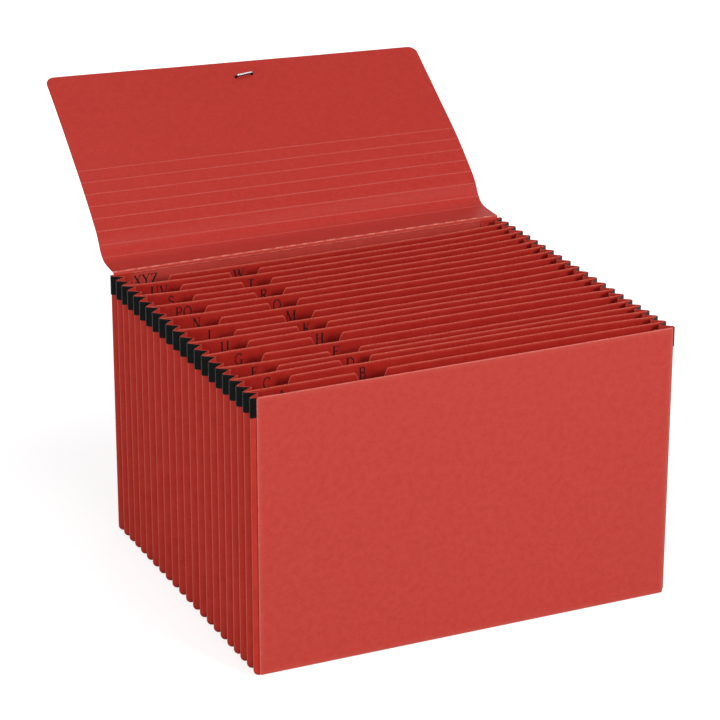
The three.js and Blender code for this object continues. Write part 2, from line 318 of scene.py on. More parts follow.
@dataclass(frozen=True)
class ClothTape:
    """Black coated cloth tape with a fine plain weave, scuffed grey where it is rubbed."""

    name: str = "black_cloth_tape"
    dye: Colour = (0.0016, 0.0019, 0.0020)
    rubbed: Colour = (0.024, 0.026, 0.028)
    thread_mm: float = 0.42
    bands_per_thread: float = 0.32
    thread_bend: float = 0.6
    scuff_mm: float = 3.0
    scuff_range: Pair = (0.52, 0.74)
    scuff_share: float = 0.45
    weave_show: Pair = (0.35, 0.8)
    roughness: Pair = (0.42, 0.6)
    gloss: float = 0.05
    weave_depth_mm: float = 0.05

    def weave(self, sketch: Sketch) -> bpy.types.NodeSocket:
        """The height of the crossing threads.

        Args:
            sketch: the material's sketch.

        Returns:
            The height, from 0 to 1.
        """
        threads = []
        for direction in ("DIAGONAL", "Z"):
            wave = sketch.add("ShaderNodeTexWave")
            wave.bands_direction = direction
            wave.inputs["Scale"].default_value = self.bands_per_thread / (self.thread_mm * MM)
            wave.inputs["Distortion"].default_value = self.thread_bend
            sketch.join(sketch.place, wave.inputs["Vector"])
            threads.append(wave.outputs["Fac"])
        return sketch.combine("MAXIMUM", *threads)

    def material(self) -> bpy.types.Material:
        """Build the tape's material.

        Returns:
            The material.
        """
        sketch = Sketch(self.name)
        weave = self.weave(sketch)
        scuffs = sketch.span(sketch.noise(self.scuff_mm, 5.0), *self.scuff_range, 0.0, self.scuff_share)
        worn = sketch.combine("MAXIMUM", scuffs, sketch.wear())
        worn = sketch.combine("MULTIPLY", worn, sketch.span(weave, 0.3, 1.0, *self.weave_show))
        sketch.join(sketch.mix(worn, self.dye, self.rubbed), sketch.shader.inputs["Base Color"])
        dull = sketch.span(scuffs, 0.0, self.scuff_share, *self.roughness)
        sketch.join(dull, sketch.shader.inputs["Roughness"])
        sketch.set(Specular_IOR_Level=self.gloss)
        sketch.bump(weave, self.weave_depth_mm)
        return sketch.material


@dataclass(frozen=True)
class PlatedWire:
    """Bright plated steel with fine draw lines, darkened with painted shade where the mesh's wear marks it:
    at the bends and on the side facing down the flap.
    """

    name: str = "plated_wire"
    colour: Colour = (0.80, 0.81, 0.83)
    tarnish: Colour = (0.55, 0.54, 0.53)
    # painted shade: the near-black that the bends and the underside are darkened to
    painted_shade: Colour = (0.030, 0.022, 0.020)
    line_mm: float = 0.12
    line_stretch: Triple = (30.0, 1.0, 1.0)
    spot_mm: float = 1.4
    spot_range: Pair = (0.52, 0.75)
    roughness: Pair = (0.14, 0.28)
    line_depth_mm: float = 0.008

    def material(self) -> bpy.types.Material:
        """Build the wire's material.

        Returns:
            The material.
        """
        sketch = Sketch(self.name)
        lines = sketch.noise(self.line_mm, 2.0, self.line_stretch)
        spots = sketch.span(sketch.noise(self.spot_mm, 4.0), *self.spot_range)
        bright = sketch.mix(spots, self.colour, self.tarnish)
        # on this wire the wear attribute carries painted shade, not worn plating
        sketch.join(sketch.mix(sketch.wear(), bright, self.painted_shade), sketch.shader.inputs["Base Color"])
        sketch.join(sketch.span(lines, 0.3, 0.7, *self.roughness), sketch.shader.inputs["Roughness"])
        sketch.set(Metallic=1.0)
        sketch.bump(lines, self.line_depth_mm)
        return sketch.material


@dataclass(frozen=True)
class PrintInk:
    """Dull dark ink that has sunk a little into the paper."""

    name: str = "index_ink"
    full: Colour = (0.010, 0.003, 0.003)
    thin: Colour = (0.050, 0.008, 0.007)
    patch_mm: float = 0.5
    patch_range: Pair = (0.45, 0.72)
    roughness: float = 0.6
    gloss: float = 0.25
    depth_mm: float = 0.01

    def material(self) -> bpy.types.Material:
        """Build the ink's material.

        Returns:
            The material.
        """
        sketch = Sketch(self.name)
        patches = sketch.span(sketch.noise(self.patch_mm, 4.0), *self.patch_range)
        sketch.join(sketch.mix(patches, self.full, self.thin), sketch.shader.inputs["Base Color"])
        sketch.set(Roughness=self.roughness, Specular_IOR_Level=self.gloss)
        sketch.bump(patches, self.depth_mm)
        return sketch.material


BOARD = FibreSheet("red_pressboard", deep=(0.510, 0.049, 0.036), light=(0.545, 0.058, 0.044),
                   worn=(0.74, 0.22, 0.18), cloud_mm=6.0, mottle_mm=1.4, roughness=0.45, gloss=0.10,
                   tooth_mm=0.02)
INSIDE_BOARD = FibreSheet("red_pressboard_inside", deep=(0.446, 0.030, 0.021), light=(0.479, 0.034, 0.025),
                          worn=(0.74, 0.22, 0.18), cloud_mm=6.0, mottle_mm=1.4, roughness=0.42, gloss=0.11,
                          tooth_mm=0.02)
CREASED_BOARD = FibreSheet("red_board_crease", deep=(0.525, 0.041, 0.030), light=(0.560, 0.049, 0.037),
                           worn=(0.84, 0.32, 0.25), cloud_mm=9.0, roughness=0.55, gloss=0.05,
                           tooth_mm=0.04)
GUSSET_PAPER = FibreSheet("red_gusset_paper", deep=(0.470, 0.030, 0.020), light=(0.525, 0.039, 0.027),
                          worn=(0.74, 0.155, 0.115), cloud_mm=12.0, roughness=0.62, gloss=0.05)
DIVIDER_PAPER = FibreSheet("red_divider_paper", deep=(0.425, 0.017, 0.012), light=(0.475, 0.023, 0.016),
                           worn=(0.73, 0.14, 0.10), cloud_mm=12.0, roughness=0.62, gloss=0.05)


def waviness(values: Grid, seed: int, length_mm: float, height_mm: float) -> Grid:
    """A smooth repeatable wave of three sines.

    Args:
        values: places along the wave, in millimetres.
        seed: which wave; the same seed gives the same wave.
        length_mm: the longest sine's length.
        height_mm: how far the wave reaches from 0.

    Returns:
        The wave's height at each place.
    """
    draw = np.random.default_rng(seed)
    total = np.zeros_like(values, dtype=float)
    for share, times_finer in ((0.55, 1.0), (0.30, 2.3), (0.15, 5.1)):
        phase = draw.uniform(0, 2 * math.pi)
        total = total + share * np.sin(2 * math.pi * times_finer * values / length_mm + phase)
    return total * height_mm


def mesh_piece(name: str, points: Grid, faces: list[tuple[int, ...]], wear: Grid,
               sharp: Grid | None = None) -> bpy.types.Object:
    """Make a mesh object from points in millimetres, facing outward.

    Args:
        name: the piece's name.
        points: one row of three numbers a point.
        faces: the faces' point numbers.
        wear: the wear at each point, from 0 to 1.
        sharp: a number for each point; an edge whose two ends share a number over 0 is sharp.

    Returns:
        The object, linked to the scene.
    """
    mesh = bpy.data.meshes.new(name)
    mesh.from_pydata((points * MM).tolist(), [], faces)
    mesh.validate()
    volume = sum(face.center.dot(face.normal) * face.area for face in mesh.polygons)
    if volume < 0:
        mesh.flip_normals()
    mesh.polygons.foreach_set("use_smooth", [True] * len(mesh.polygons))
    mesh.attributes.new("wear", "FLOAT", "POINT").data.foreach_set("value", wear.astype(np.float32))
    if sharp is not None:
        ends = np.zeros(len(mesh.edges) * 2, dtype=int)
        mesh.edges.foreach_get("vertices", ends)
        pairs = sharp[ends.reshape(-1, 2)]
        crisp = (pairs[:, 0] > 0) & (pairs[:, 0] == pairs[:, 1])
        mesh.attributes.new("sharp_edge", "BOOLEAN", "EDGE").data.foreach_set("value", crisp)
    mesh.update()
    piece = bpy.data.objects.new(name, mesh)
    bpy.context.scene.collection.objects.link(piece)
    return piece


def closed_sheet(name: str, front: Grid, back: Grid, wear: Grid, rim_wear: float = 0.8,
                 rim_round: float = 0.3) -> bpy.types.Object:
    """Make a thin closed sheet with a rounded rim between two faces of the same grid.

    Args:
        name: the piece's name.
        front: the points of one face, rows by columns by 3, in millimetres.
        back: the points of the other face.
        wear: the wear at each grid place.
        rim_wear: the wear on the cut rim.
        rim_round: how far the rim's middle stands out, as a share of the thickness.

    Returns:
        The sheet's object.
    """
    rows, columns = wear.shape
    count = rows * columns
    number = np.arange(count).reshape(rows, columns)
    quads = np.stack([number[:-1, :-1], number[:-1, 1:], number[1:, 1:], number[1:, :-1]], axis=-1)
    quads = quads.reshape(-1, 4)
    loop = np.concatenate([number[0, :], number[1:, -1], number[-1, -2::-1], number[-2:0:-1, 0]])
    row, column = np.divmod(loop, columns)
    inner = np.clip(row, 1, max(rows - 2, 1)) * columns + np.clip(column, 1, max(columns - 2, 1))
    flat_front, flat_back = front.reshape(-1, 3), back.reshape(-1, 3)
    away = flat_front[loop] - flat_front[inner]
    away = away / np.maximum(np.linalg.norm(away, axis=1, keepdims=True), 1e-9)
    thickness = np.linalg.norm(flat_front[loop] - flat_back[loop], axis=1, keepdims=True)
    middle = (flat_front[loop] + flat_back[loop]) / 2 + away * thickness * rim_round
    points = np.concatenate([flat_front, flat_back, middle])
    rim = np.arange(len(loop)) + 2 * count
    after = np.roll(np.arange(len(loop)), -1)
    faces = quads.tolist() + (quads[:, ::-1] + count).tolist()
    faces += np.stack([loop, rim, rim[after], loop[after]], axis=-1).tolist()
    faces += np.stack([rim, loop + count, loop[after] + count, rim[after]], axis=-1).tolist()
    worn = np.concatenate([wear.ravel(), wear.ravel(), np.full(len(loop), rim_wear)])
    sharp = np.zeros(len(points), dtype=int)
    sharp[loop] = 1
    sharp[loop + count] = 2
    return mesh_piece(name, points, faces, worn, sharp)


def dress(piece: bpy.types.Object, material: bpy.types.Material, slot: Slot | None, body: Body,
          *nodes: str) -> bpy.types.Object:
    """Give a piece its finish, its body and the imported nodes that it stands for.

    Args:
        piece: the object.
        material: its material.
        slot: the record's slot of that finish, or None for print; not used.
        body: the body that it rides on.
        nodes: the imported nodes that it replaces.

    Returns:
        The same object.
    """
    piece.data.materials.append(material)
    if nodes:
        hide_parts(*nodes)
    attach(piece, body.value)
    return piece


@dataclass(frozen=True)
class FileForm:
    """The open file's main sizes in millimetres, and the places that its sheets share."""

    width: float = 381.0
    height: float = 243.0
    fold_span: float = 312.0
    pockets: int = 21
    swell: float = 0.077
    pleat_leg: float = 11.1
    land_half: float = 0.9
    paper: float = 0.6
    board: float = 0.8
    gap: float = 0.3
    outer_radius: float = 4.5
    inner_radius: float = 1.5
    crease_rise: float = 2.0

    @property
    def half_width(self) -> float:
        """Half the width over the side folds."""
        return self.width / 2

    @property
    def way_round(self) -> float:
        """Length of the way down the left side, under the file and up the right side."""
        return 2 * self.height + self.width

    @property
    def crease_height(self) -> float:
        """Height of the crease between back cover and flap."""
        return self.height + self.crease_rise

    @property
    def cover_stand(self) -> float:
        """From an end fold's middle to the middle of the cover on it."""
        return self.land_half + self.paper / 2 + self.gap + self.board / 2

    @property
    def shift(self) -> float:
        """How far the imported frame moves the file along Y, read from the front cover's face."""
        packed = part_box("front_cover")[0].y / MM
        return packed + self.fold_span / 2 + self.cover_stand + self.board / 2

    def fold(self, index: int) -> float:
        """Depth of an outward fold.

        Args:
            index: the fold's number, from 0 at the back cover.

        Returns:
            Its depth along Y.
        """
        share = 1 - 2 * index / self.pockets
        eased = share + self.swell * math.sin(math.pi * share) / math.pi
        return eased * self.fold_span / 2 + self.shift

    @property
    def back_middle(self) -> float:
        """Depth of the back cover's middle."""
        return self.fold(0) + self.cover_stand

    @property
    def front_middle(self) -> float:
        """Depth of the front cover's middle."""
        return self.fold(self.pockets) - self.cover_stand

    def pleat_depth(self, pocket: int) -> float:
        """How far a pocket's inward fold stands in from its outward folds."""
        half_pitch = (self.fold(pocket) - self.fold(pocket + 1)) / 2 - self.land_half
        return math.sqrt(self.pleat_leg ** 2 - half_pitch ** 2)

    def corner_radius(self, inset: Grid | float) -> Grid | float:
        """Radius of the corner between side and base, for a fold that stands in by an inset."""
        share = np.clip(inset / self.pleat_depth(0), 0, 1)
        return self.outer_radius + (self.inner_radius - self.outer_radius) * share


@dataclass
class Covers:
    """The two flat pressboard covers."""

    form: FileForm
    front_left_inset: float = 4.6
    front_right_inset: float = 1.2
    back_inset: float = 3.0
    corner: float = 2.0
    least_radius: float = 0.3
    crease_gap: float = 0.5
    rim_inset: float = 0.1
    rim_pull: float = 0.14
    rim_wear: float = 1.0
    rings: Sequence[Pair] = ((0.0, 0.9), (0.35, 0.5), (1.4, 0.12), (5.0, 0.0))
    corner_steps: int = 10
    edge_steps: int = 60

    def outline(self, left: float, right: float, height: float, inset: float) -> Grid:
        """Points round a board with rounded corners.

        Args:
            left: X of its left edge.
            right: X of its right edge.
            height: Z of its top edge; its foot is at 0.
            inset: how far inside the edge the points run.

        Returns:
            Rows of X and Z.
        """
        radius = max(self.corner - inset, self.least_radius)
        reach = inset + radius
        middles = ((right - reach, height - reach, 0), (left + reach, height - reach, 90),
                   (left + reach, reach, 180), (right - reach, reach, 270))
        points: list[Pair] = []
        for x, z, start in middles:
            for step in range(self.corner_steps + 1):
                turn = math.radians(start + 90 * step / self.corner_steps)
                points.append((x + radius * math.cos(turn), z + radius * math.sin(turn)))
        closed = [*points, points[0]]
        dense: list[Pair] = []
        for here, after in zip(closed, closed[1:]):
            straight = math.dist(here, after) > 3 * self.corner
            steps = self.edge_steps if straight else 1
            way = np.array(after) - here
            dense += [tuple(np.array(here) + way * k / steps) for k in range(steps)]
        return np.array(dense)

    def board(self, name: str, left: float, right: float, height: float, middle: float) -> bpy.types.Object:
        """Make one board with a softened, worn rim.

        Args:
            name: the piece's name.
            left: X of its left edge.
            right: X of its right edge.
            height: Z of its top edge.
            middle: Y of its middle.

        Returns:
            The board's object.
        """
        half = self.form.board / 2
        front = [(-1, inset, wear) for inset, wear in reversed(self.rings)]
        back = [(1, inset, wear) for inset, wear in self.rings]
        profile = [*front, (0, 0.0, self.rim_wear), *back]
        loops: list[Grid] = []
        for face, inset, _ in profile:
            at_rim = face != 0 and inset == 0
            flat = self.outline(left, right, height, self.rim_inset if at_rim else inset)
            stand = half - self.rim_pull if at_rim else half
            depth = np.full(len(flat), middle + face * stand)
            loops.append(np.column_stack([flat[:, 0], depth, flat[:, 1]]))
        worn = [wear for *_, wear in profile]
        size = len(loops[0])
        faces: list[tuple[int, ...]] = [tuple(range(size))]
        for ring in range(len(loops) - 1):
            here, after = ring * size, (ring + 1) * size
            for k in range(size):
                k1 = (k + 1) % size
                faces.append((here + k1, here + k, after + k, after + k1))
        faces.append(tuple(reversed(range(size * (len(loops) - 1), size * len(loops)))))
        return mesh_piece(name, np.concatenate(loops), faces, np.repeat(np.array(worn), size))

    def build(self) -> list[bpy.types.Object]:
        """Build and dress both covers.

        Returns:
            The front cover and the back cover.
        """
        form = self.form
        half = form.half_width
        material = BOARD.material()
        front = self.board("front_cover_board", self.front_left_inset - half, half - self.front_right_inset,
                           form.height, form.front_middle)
        back = self.board("back_cover_board", self.back_inset - half, half - self.back_inset,
                          form.crease_height - self.crease_gap, form.back_middle)
        dress(front, material, Slot.BOARD, Body.FILE, "front_cover")
        dress(back, material, Slot.BOARD, Body.FILE, "back_cover")
        return [front, back]


@dataclass
class PleatSection:
    """The gusset's paper in section, with depth along the file and inset from its outward folds."""

    form: FileForm
    leg_points: int = 3
    bend: float = 0.55
    flange_start: float = 1.2
    land_dip: float = 0.10
    land_wear: Sequence[Pair] = ((1.0, 0.1), (0.5, 0.7), (0.0, 0.9), (-0.5, 0.7), (-1.0, 0.1))
    tip_dip: float = 0.12
    tip_wear: float = 0.55
    bend_wear: float = 0.15
    drift: float = 0.45
    drift_length: float = 310.0
    drift_seed: int = 40

    def land(self, index: int) -> list[Triple]:
        """The rounded, worn land of one outward fold.

        Args:
            index: the fold's number, from 0 at the back cover.

        Returns:
            Depth, inset and wear of its points, from back to front.
        """
        fold = self.form.fold(index)
        half, foot = self.form.land_half, self.form.paper / 2
        return [(fold + half * share, foot + (self.land_dip if abs(share) == 1 else 0.0), wear)
                for share, wear in self.land_wear]

    def leg(self, start: Pair, tip: Pair) -> list[Triple]:
        """One leg of a pleat, up to where it bends into the inward fold.

        Args:
            start: depth and inset at the outward fold.
            tip: depth and inset at the inward fold.

        Returns:
            Depth, inset and wear of its points.
        """
        share_in = 1 - self.bend / self.form.pleat_leg
        points = []
        for k in range(1, self.leg_points + 1):
            share = share_in * k / self.leg_points
            depth, inset = (low + (high - low) * share for low, high in zip(start, tip))
            points.append((depth, inset, self.bend_wear if k == self.leg_points else 0.0))
        return points

    def pleat(self, index: int, along: float) -> list[Triple]:
        """The two legs and the inward fold of one pocket's pleat.

        Args:
            index: the pocket's number, from 0 at the back cover.
            along: place on the way round the file, which sways the inward fold.

        Returns:
            Depth, inset and wear of its points, from back to front.
        """
        form = self.form
        middle = form.paper / 2
        fold, after = form.fold(index), form.fold(index + 1)
        sway = float(waviness(np.array(along), self.drift_seed + index, self.drift_length, self.drift))
        tip = ((fold + after) / 2 + sway, middle + form.pleat_depth(index))
        back = self.leg((fold - form.land_half, middle + self.land_dip), tip)
        front = self.leg((after + form.land_half, middle + self.land_dip), tip)
        return [*back, (tip[0], tip[1] - self.tip_dip, self.tip_wear), *reversed(front)]

    def line(self, back_flange: float, front_flange: float, along: float = 0.0) -> tuple[Grid, Grid]:
        """The paper's middle line at one place on its way round the file.

        Args:
            back_flange: inset at which the back flange ends.
            front_flange: inset at which the front flange ends.
            along: place on the way round, in millimetres, which sways the inward folds.

        Returns:
            The [depth, inset] points from the back flange to the front flange, and the wear at each.
        """
        form = self.form
        turned_in = form.paper / 2 + self.flange_start
        back, front = form.fold(0) + form.land_half, form.fold(form.pockets) - form.land_half
        points = [(back, back_flange, 0.0), (back, turned_in, 0.0)]
        for index in range(form.pockets + 1):
            points += self.land(index)
            if index < form.pockets:
                points += self.pleat(index, along)
        points += [(front, turned_in, 0.0), (front, front_flange, 0.0)]
        rows = np.array(points)
        return rows[:, :2], rows[:, 2]

    @staticmethod
    def offset(points: Grid, distance: float) -> Grid:
        """Move a line sideways with mitred corners; a positive distance goes towards the pockets.

        Args:
            points: the line's [depth, inset] points.
            distance: how far it moves.

        Returns:
            The moved points.
        """
        along = np.diff(points, axis=0)
        along = along / np.linalg.norm(along, axis=1, keepdims=True)
        normals = np.column_stack([along[:, 1], -along[:, 0]])
        before = np.vstack([normals[:1], normals])
        after = np.vstack([normals, normals[-1:]])
        scale = distance / (1 + np.sum(before * after, axis=1, keepdims=True))
        return points + (before + after) * scale


@dataclass
class Gusset:
    """The pleated gusset: one sheet down the left side, under the file and up the right side."""

    form: FileForm
    section: PleatSection
    flange: float = 20.0
    side_steps: int = 26
    corner_steps: int = 7
    base_steps: int = 24
    rim_wear: float = 0.75

    @property
    def stations(self) -> int:
        """Number of steps on the way round the file."""
        return 2 * (self.side_steps + self.corner_steps) + self.base_steps

    def place(self, points: Grid, station: int) -> Grid:
        """Sweep the section to a station on its way round the file.

        Args:
            points: the section's [depth, inset] points.
            station: number of the station, from the left side's top to the right side's top.

        Returns:
            The points in space.
        """
        form = self.form
        depth, inset = points[:, 0], points[:, 1]
        radius = form.corner_radius(np.clip(inset, 0, None))
        side = -1 if station <= self.stations / 2 else 1
        step = station if side < 0 else self.stations - station
        if step <= self.side_steps:
            x = form.half_width - inset
            low = inset + radius
            z = form.height + (low - form.height) * step / self.side_steps
        elif step <= self.side_steps + self.corner_steps:
            turn = (step - self.side_steps) / self.corner_steps * math.pi / 2
            x = form.half_width - inset - radius * (1 - math.cos(turn))
            z = inset + radius * (1 - math.sin(turn))
        else:
            share = (step - self.side_steps - self.corner_steps) / (self.base_steps / 2)
            x = (form.half_width - inset - radius) * (1 - share)
            z = inset
        return np.column_stack([side * x, depth, z * np.ones_like(depth)])

    def build(self) -> list[bpy.types.Object]:
        """Build and dress the gusset.

        Returns:
            The gusset alone, in a list.
        """
        half = self.form.paper / 2
        front: list[Grid] = []
        back: list[Grid] = []
        wear: list[Grid] = []
        for station in range(self.stations + 1):
            along = station / self.stations * self.form.way_round
            line, worn = self.section.line(self.flange, self.flange, along)
            front.append(self.place(self.section.offset(line, -half), station))
            back.append(self.place(self.section.offset(line, half), station))
            wear.append(worn)
        piece = closed_sheet("pleated_gusset", np.array(front), np.array(back), np.array(wear), self.rim_wear)
        return [dress(piece, GUSSET_PAPER.material(), Slot.GUSSET, Body.FILE, "gusset")]


@dataclass
class EdgeTapes:
    """Black cloth tape over the top of the gusset's two sides."""

    form: FileForm
    section: PleatSection
    covers: Covers
    height: float = 17.0
    film: float = 0.3
    rows: int = 9
    ragged: float = 0.12
    ragged_length: float = 23.0
    ragged_seed: int = 7
    fold_wear_share: float = 0.38
    edge_wear: float = 0.35
    rim_wear: float = 0.5

    def tape(self, side: Side) -> bpy.types.Object:
        """Make one side's tape.

        Args:
            side: which side of the file.

        Returns:
            The tape's object.
        """
        form, covers = self.form, self.covers
        front_inset = covers.front_left_inset if side is Side.LEFT else covers.front_right_inset
        stand = form.paper / 2 + form.gap
        front: list[Grid] = []
        back: list[Grid] = []
        wear: list[Grid] = []
        for row in range(self.rows):
            down = self.height * row / (self.rows - 1)
            along = down if side is Side.LEFT else form.way_round - down
            line, worn = self.section.line(covers.back_inset - form.gap, front_inset - form.gap, along)
            at_foot = row == self.rows - 1
            for rows, distance in ((front, stand + self.film), (back, stand)):
                moved = self.section.offset(line, -distance)
                x = side.value * (form.half_width - moved[:, 1])
                ragged = waviness(moved[:, 0], self.ragged_seed + row, self.ragged_length,
                                  self.ragged if at_foot else 0.0)
                z = form.height - down + ragged
                rows.append(np.column_stack([x, moved[:, 0], z]))
            edge = self.edge_wear if row == 0 or at_foot else 0.0
            wear.append(np.clip(worn * self.fold_wear_share + edge, 0, 1))
        name = f"{side.name.lower()}_cloth_tape"
        return closed_sheet(name, np.array(front), np.array(back), np.array(wear), self.rim_wear)

    def build(self) -> list[bpy.types.Object]:
        """Build and dress both tapes.

        Returns:
            The left tape and the right tape.
        """
        material = ClothTape().material()
        pieces = []
        for side in Side:
            node = f"{side.name.lower()}_edge_tape"
            pieces.append(dress(self.tape(side), material, Slot.TAPE, Body.FILE, node))
        return pieces


@dataclass
class Dividers:
    """The twenty dividers, numbered from the front, that stand in the gusset's outward folds."""

    form: FileForm
    notch_depth: float = 12.7
    notch_slope: float = 7.0
    centre_notch: Pair = (-94.0, -64.0)
    left_cut_end: float = -141.5
    bows: Sequence[float] = (1, 5, 4, 0, -4, -1, 2, 1, -1, -5, -5, -4, -4, -5, -6, -7, -7, -7, -7, -7)
    edge_bands: Sequence[Pair] = ((0.0, 1.0), (0.5, 0.75), (1.2, 0.18), (2.6, 0.0))
    rows: int = 16
    columns: int = 64
    slope_points: int = 11
    corner_points: int = 9
    least_step: float = 0.05
    ripple: float = 0.3
    ripple_length: float = 180.0
    ripple_seed: int = 200
    fray: float = 0.10
    fray_length: float = 37.0
    fray_seed: int = 300
    rim_wear: float = 1.0

    @property
    def half_width(self) -> float:
        """Half a divider's width."""
        return self.form.half_width - self.form.paper - self.form.gap

    def slope_starts(self, number: int) -> tuple[float, ...]:
        """Where a divider's slopes into and out of its cut begin.

        Args:
            number: the divider's number; the even ones have the left end cut away.

        Returns:
            X at the left foot of each slope.
        """
        if number % 2 == 0:
            return (self.left_cut_end - self.notch_slope,)
        return self.centre_notch[0], self.centre_notch[1] - self.notch_slope

    def cut_share(self, x: Grid, number: int) -> Grid:
        """Share of the notch depth that is cut away at X.

        Args:
            x: places across the sheet.
            number: the divider's number.

        Returns:
            The share at each place, from 0 to 1.
        """
        starts = self.slope_starts(number)
        shares = [np.clip((x - start) / self.notch_slope, 0, 1) for start in starts]
        eased = [share * share * (3 - 2 * share) for share in shares]
        return 1 - eased[0] if len(eased) == 1 else eased[0] - eased[1]

    def depth(self, number: int, x: Grid, z: Grid) -> Grid:
        """Depth of a divider's middle, bowed and slightly rippled towards its top.

        Args:
            number: the divider's number.
            x: places across.
            z: heights.

        Returns:
            The depth at each place.
        """
        form = self.form
        rise = np.clip(z / form.height, 0, 1)
        across = 1 - (x / self.half_width) ** 4
        wave = waviness(x, self.ripple_seed + number, self.ripple_length, self.ripple) * rise ** 3 * across
        return form.fold(form.pockets - number) + self.bows[number - 1] * across * rise ** 2 + wave

    def across(self, number: int) -> tuple[Grid, Grid]:
        """Places across a divider, closer at its corners and cuts, and the sheet's foot there.

        Args:
            number: the divider's number.

        Returns:
            X and the height of the foot at each place.
        """
        half = self.half_width
        low = self.form.paper + self.form.gap
        radius = float(self.form.corner_radius(self.form.paper)) - self.form.gap
        turns = np.linspace(0, math.pi / 2, self.corner_points)
        curved = half - radius * (1 - np.cos(turns))
        shares = np.linspace(0, 1, self.slope_points)
        slopes = [start + self.notch_slope * shares for start in self.slope_starts(number)]
        x = np.concatenate([curved, -curved, *slopes, np.linspace(-half, half, self.columns)])
        x = np.unique(np.round(x, 3))
        x = x[np.concatenate([[True], np.diff(x) > self.least_step])]
        past = np.clip(np.abs(x) - (half - radius), 0, radius)
        return x, low + radius - np.sqrt(radius ** 2 - past ** 2)

    def sheet(self, number: int) -> bpy.types.Object:
        """Make one divider.

        Args:
            number: the divider's number, from 1 at the front.

        Returns:
            The divider's object.
        """
        form = self.form
        x, foot = self.across(number)
        fray = waviness(x, self.fray_seed + number, self.fray_length, self.fray) - self.fray
        top = form.height - self.notch_depth * self.cut_share(x, number) + fray
        bands = [(top - down, worn) for down, worn in self.edge_bands]
        last = bands[-1][0]
        for row in range(1, self.rows + 1):
            bands.append((last + (foot - last) * row / self.rows, 0.0))
        z = np.array([height for height, _ in bands])
        wear = np.array([np.full(len(x), worn) for _, worn in bands])
        places = np.broadcast_to(x, z.shape)
        middle = self.depth(number, places, z)
        half = form.paper / 2
        front = np.stack([places, middle - half, z], axis=-1)
        back = np.stack([places, middle + half, z], axis=-1)
        return closed_sheet(f"divider_sheet_{number:02d}", front, back, wear, self.rim_wear)

    def build(self) -> list[bpy.types.Object]:
        """Build and dress all the dividers.

        Returns:
            The dividers, from the front.
        """
        material = DIVIDER_PAPER.material()
        return [dress(self.sheet(number), material, Slot.DIVIDER, Body.FILE, f"divider_{number:02d}")
                for number in range(1, self.form.pockets)]


THICK, FAIR, THIN = 0.15, 0.11, 0.06


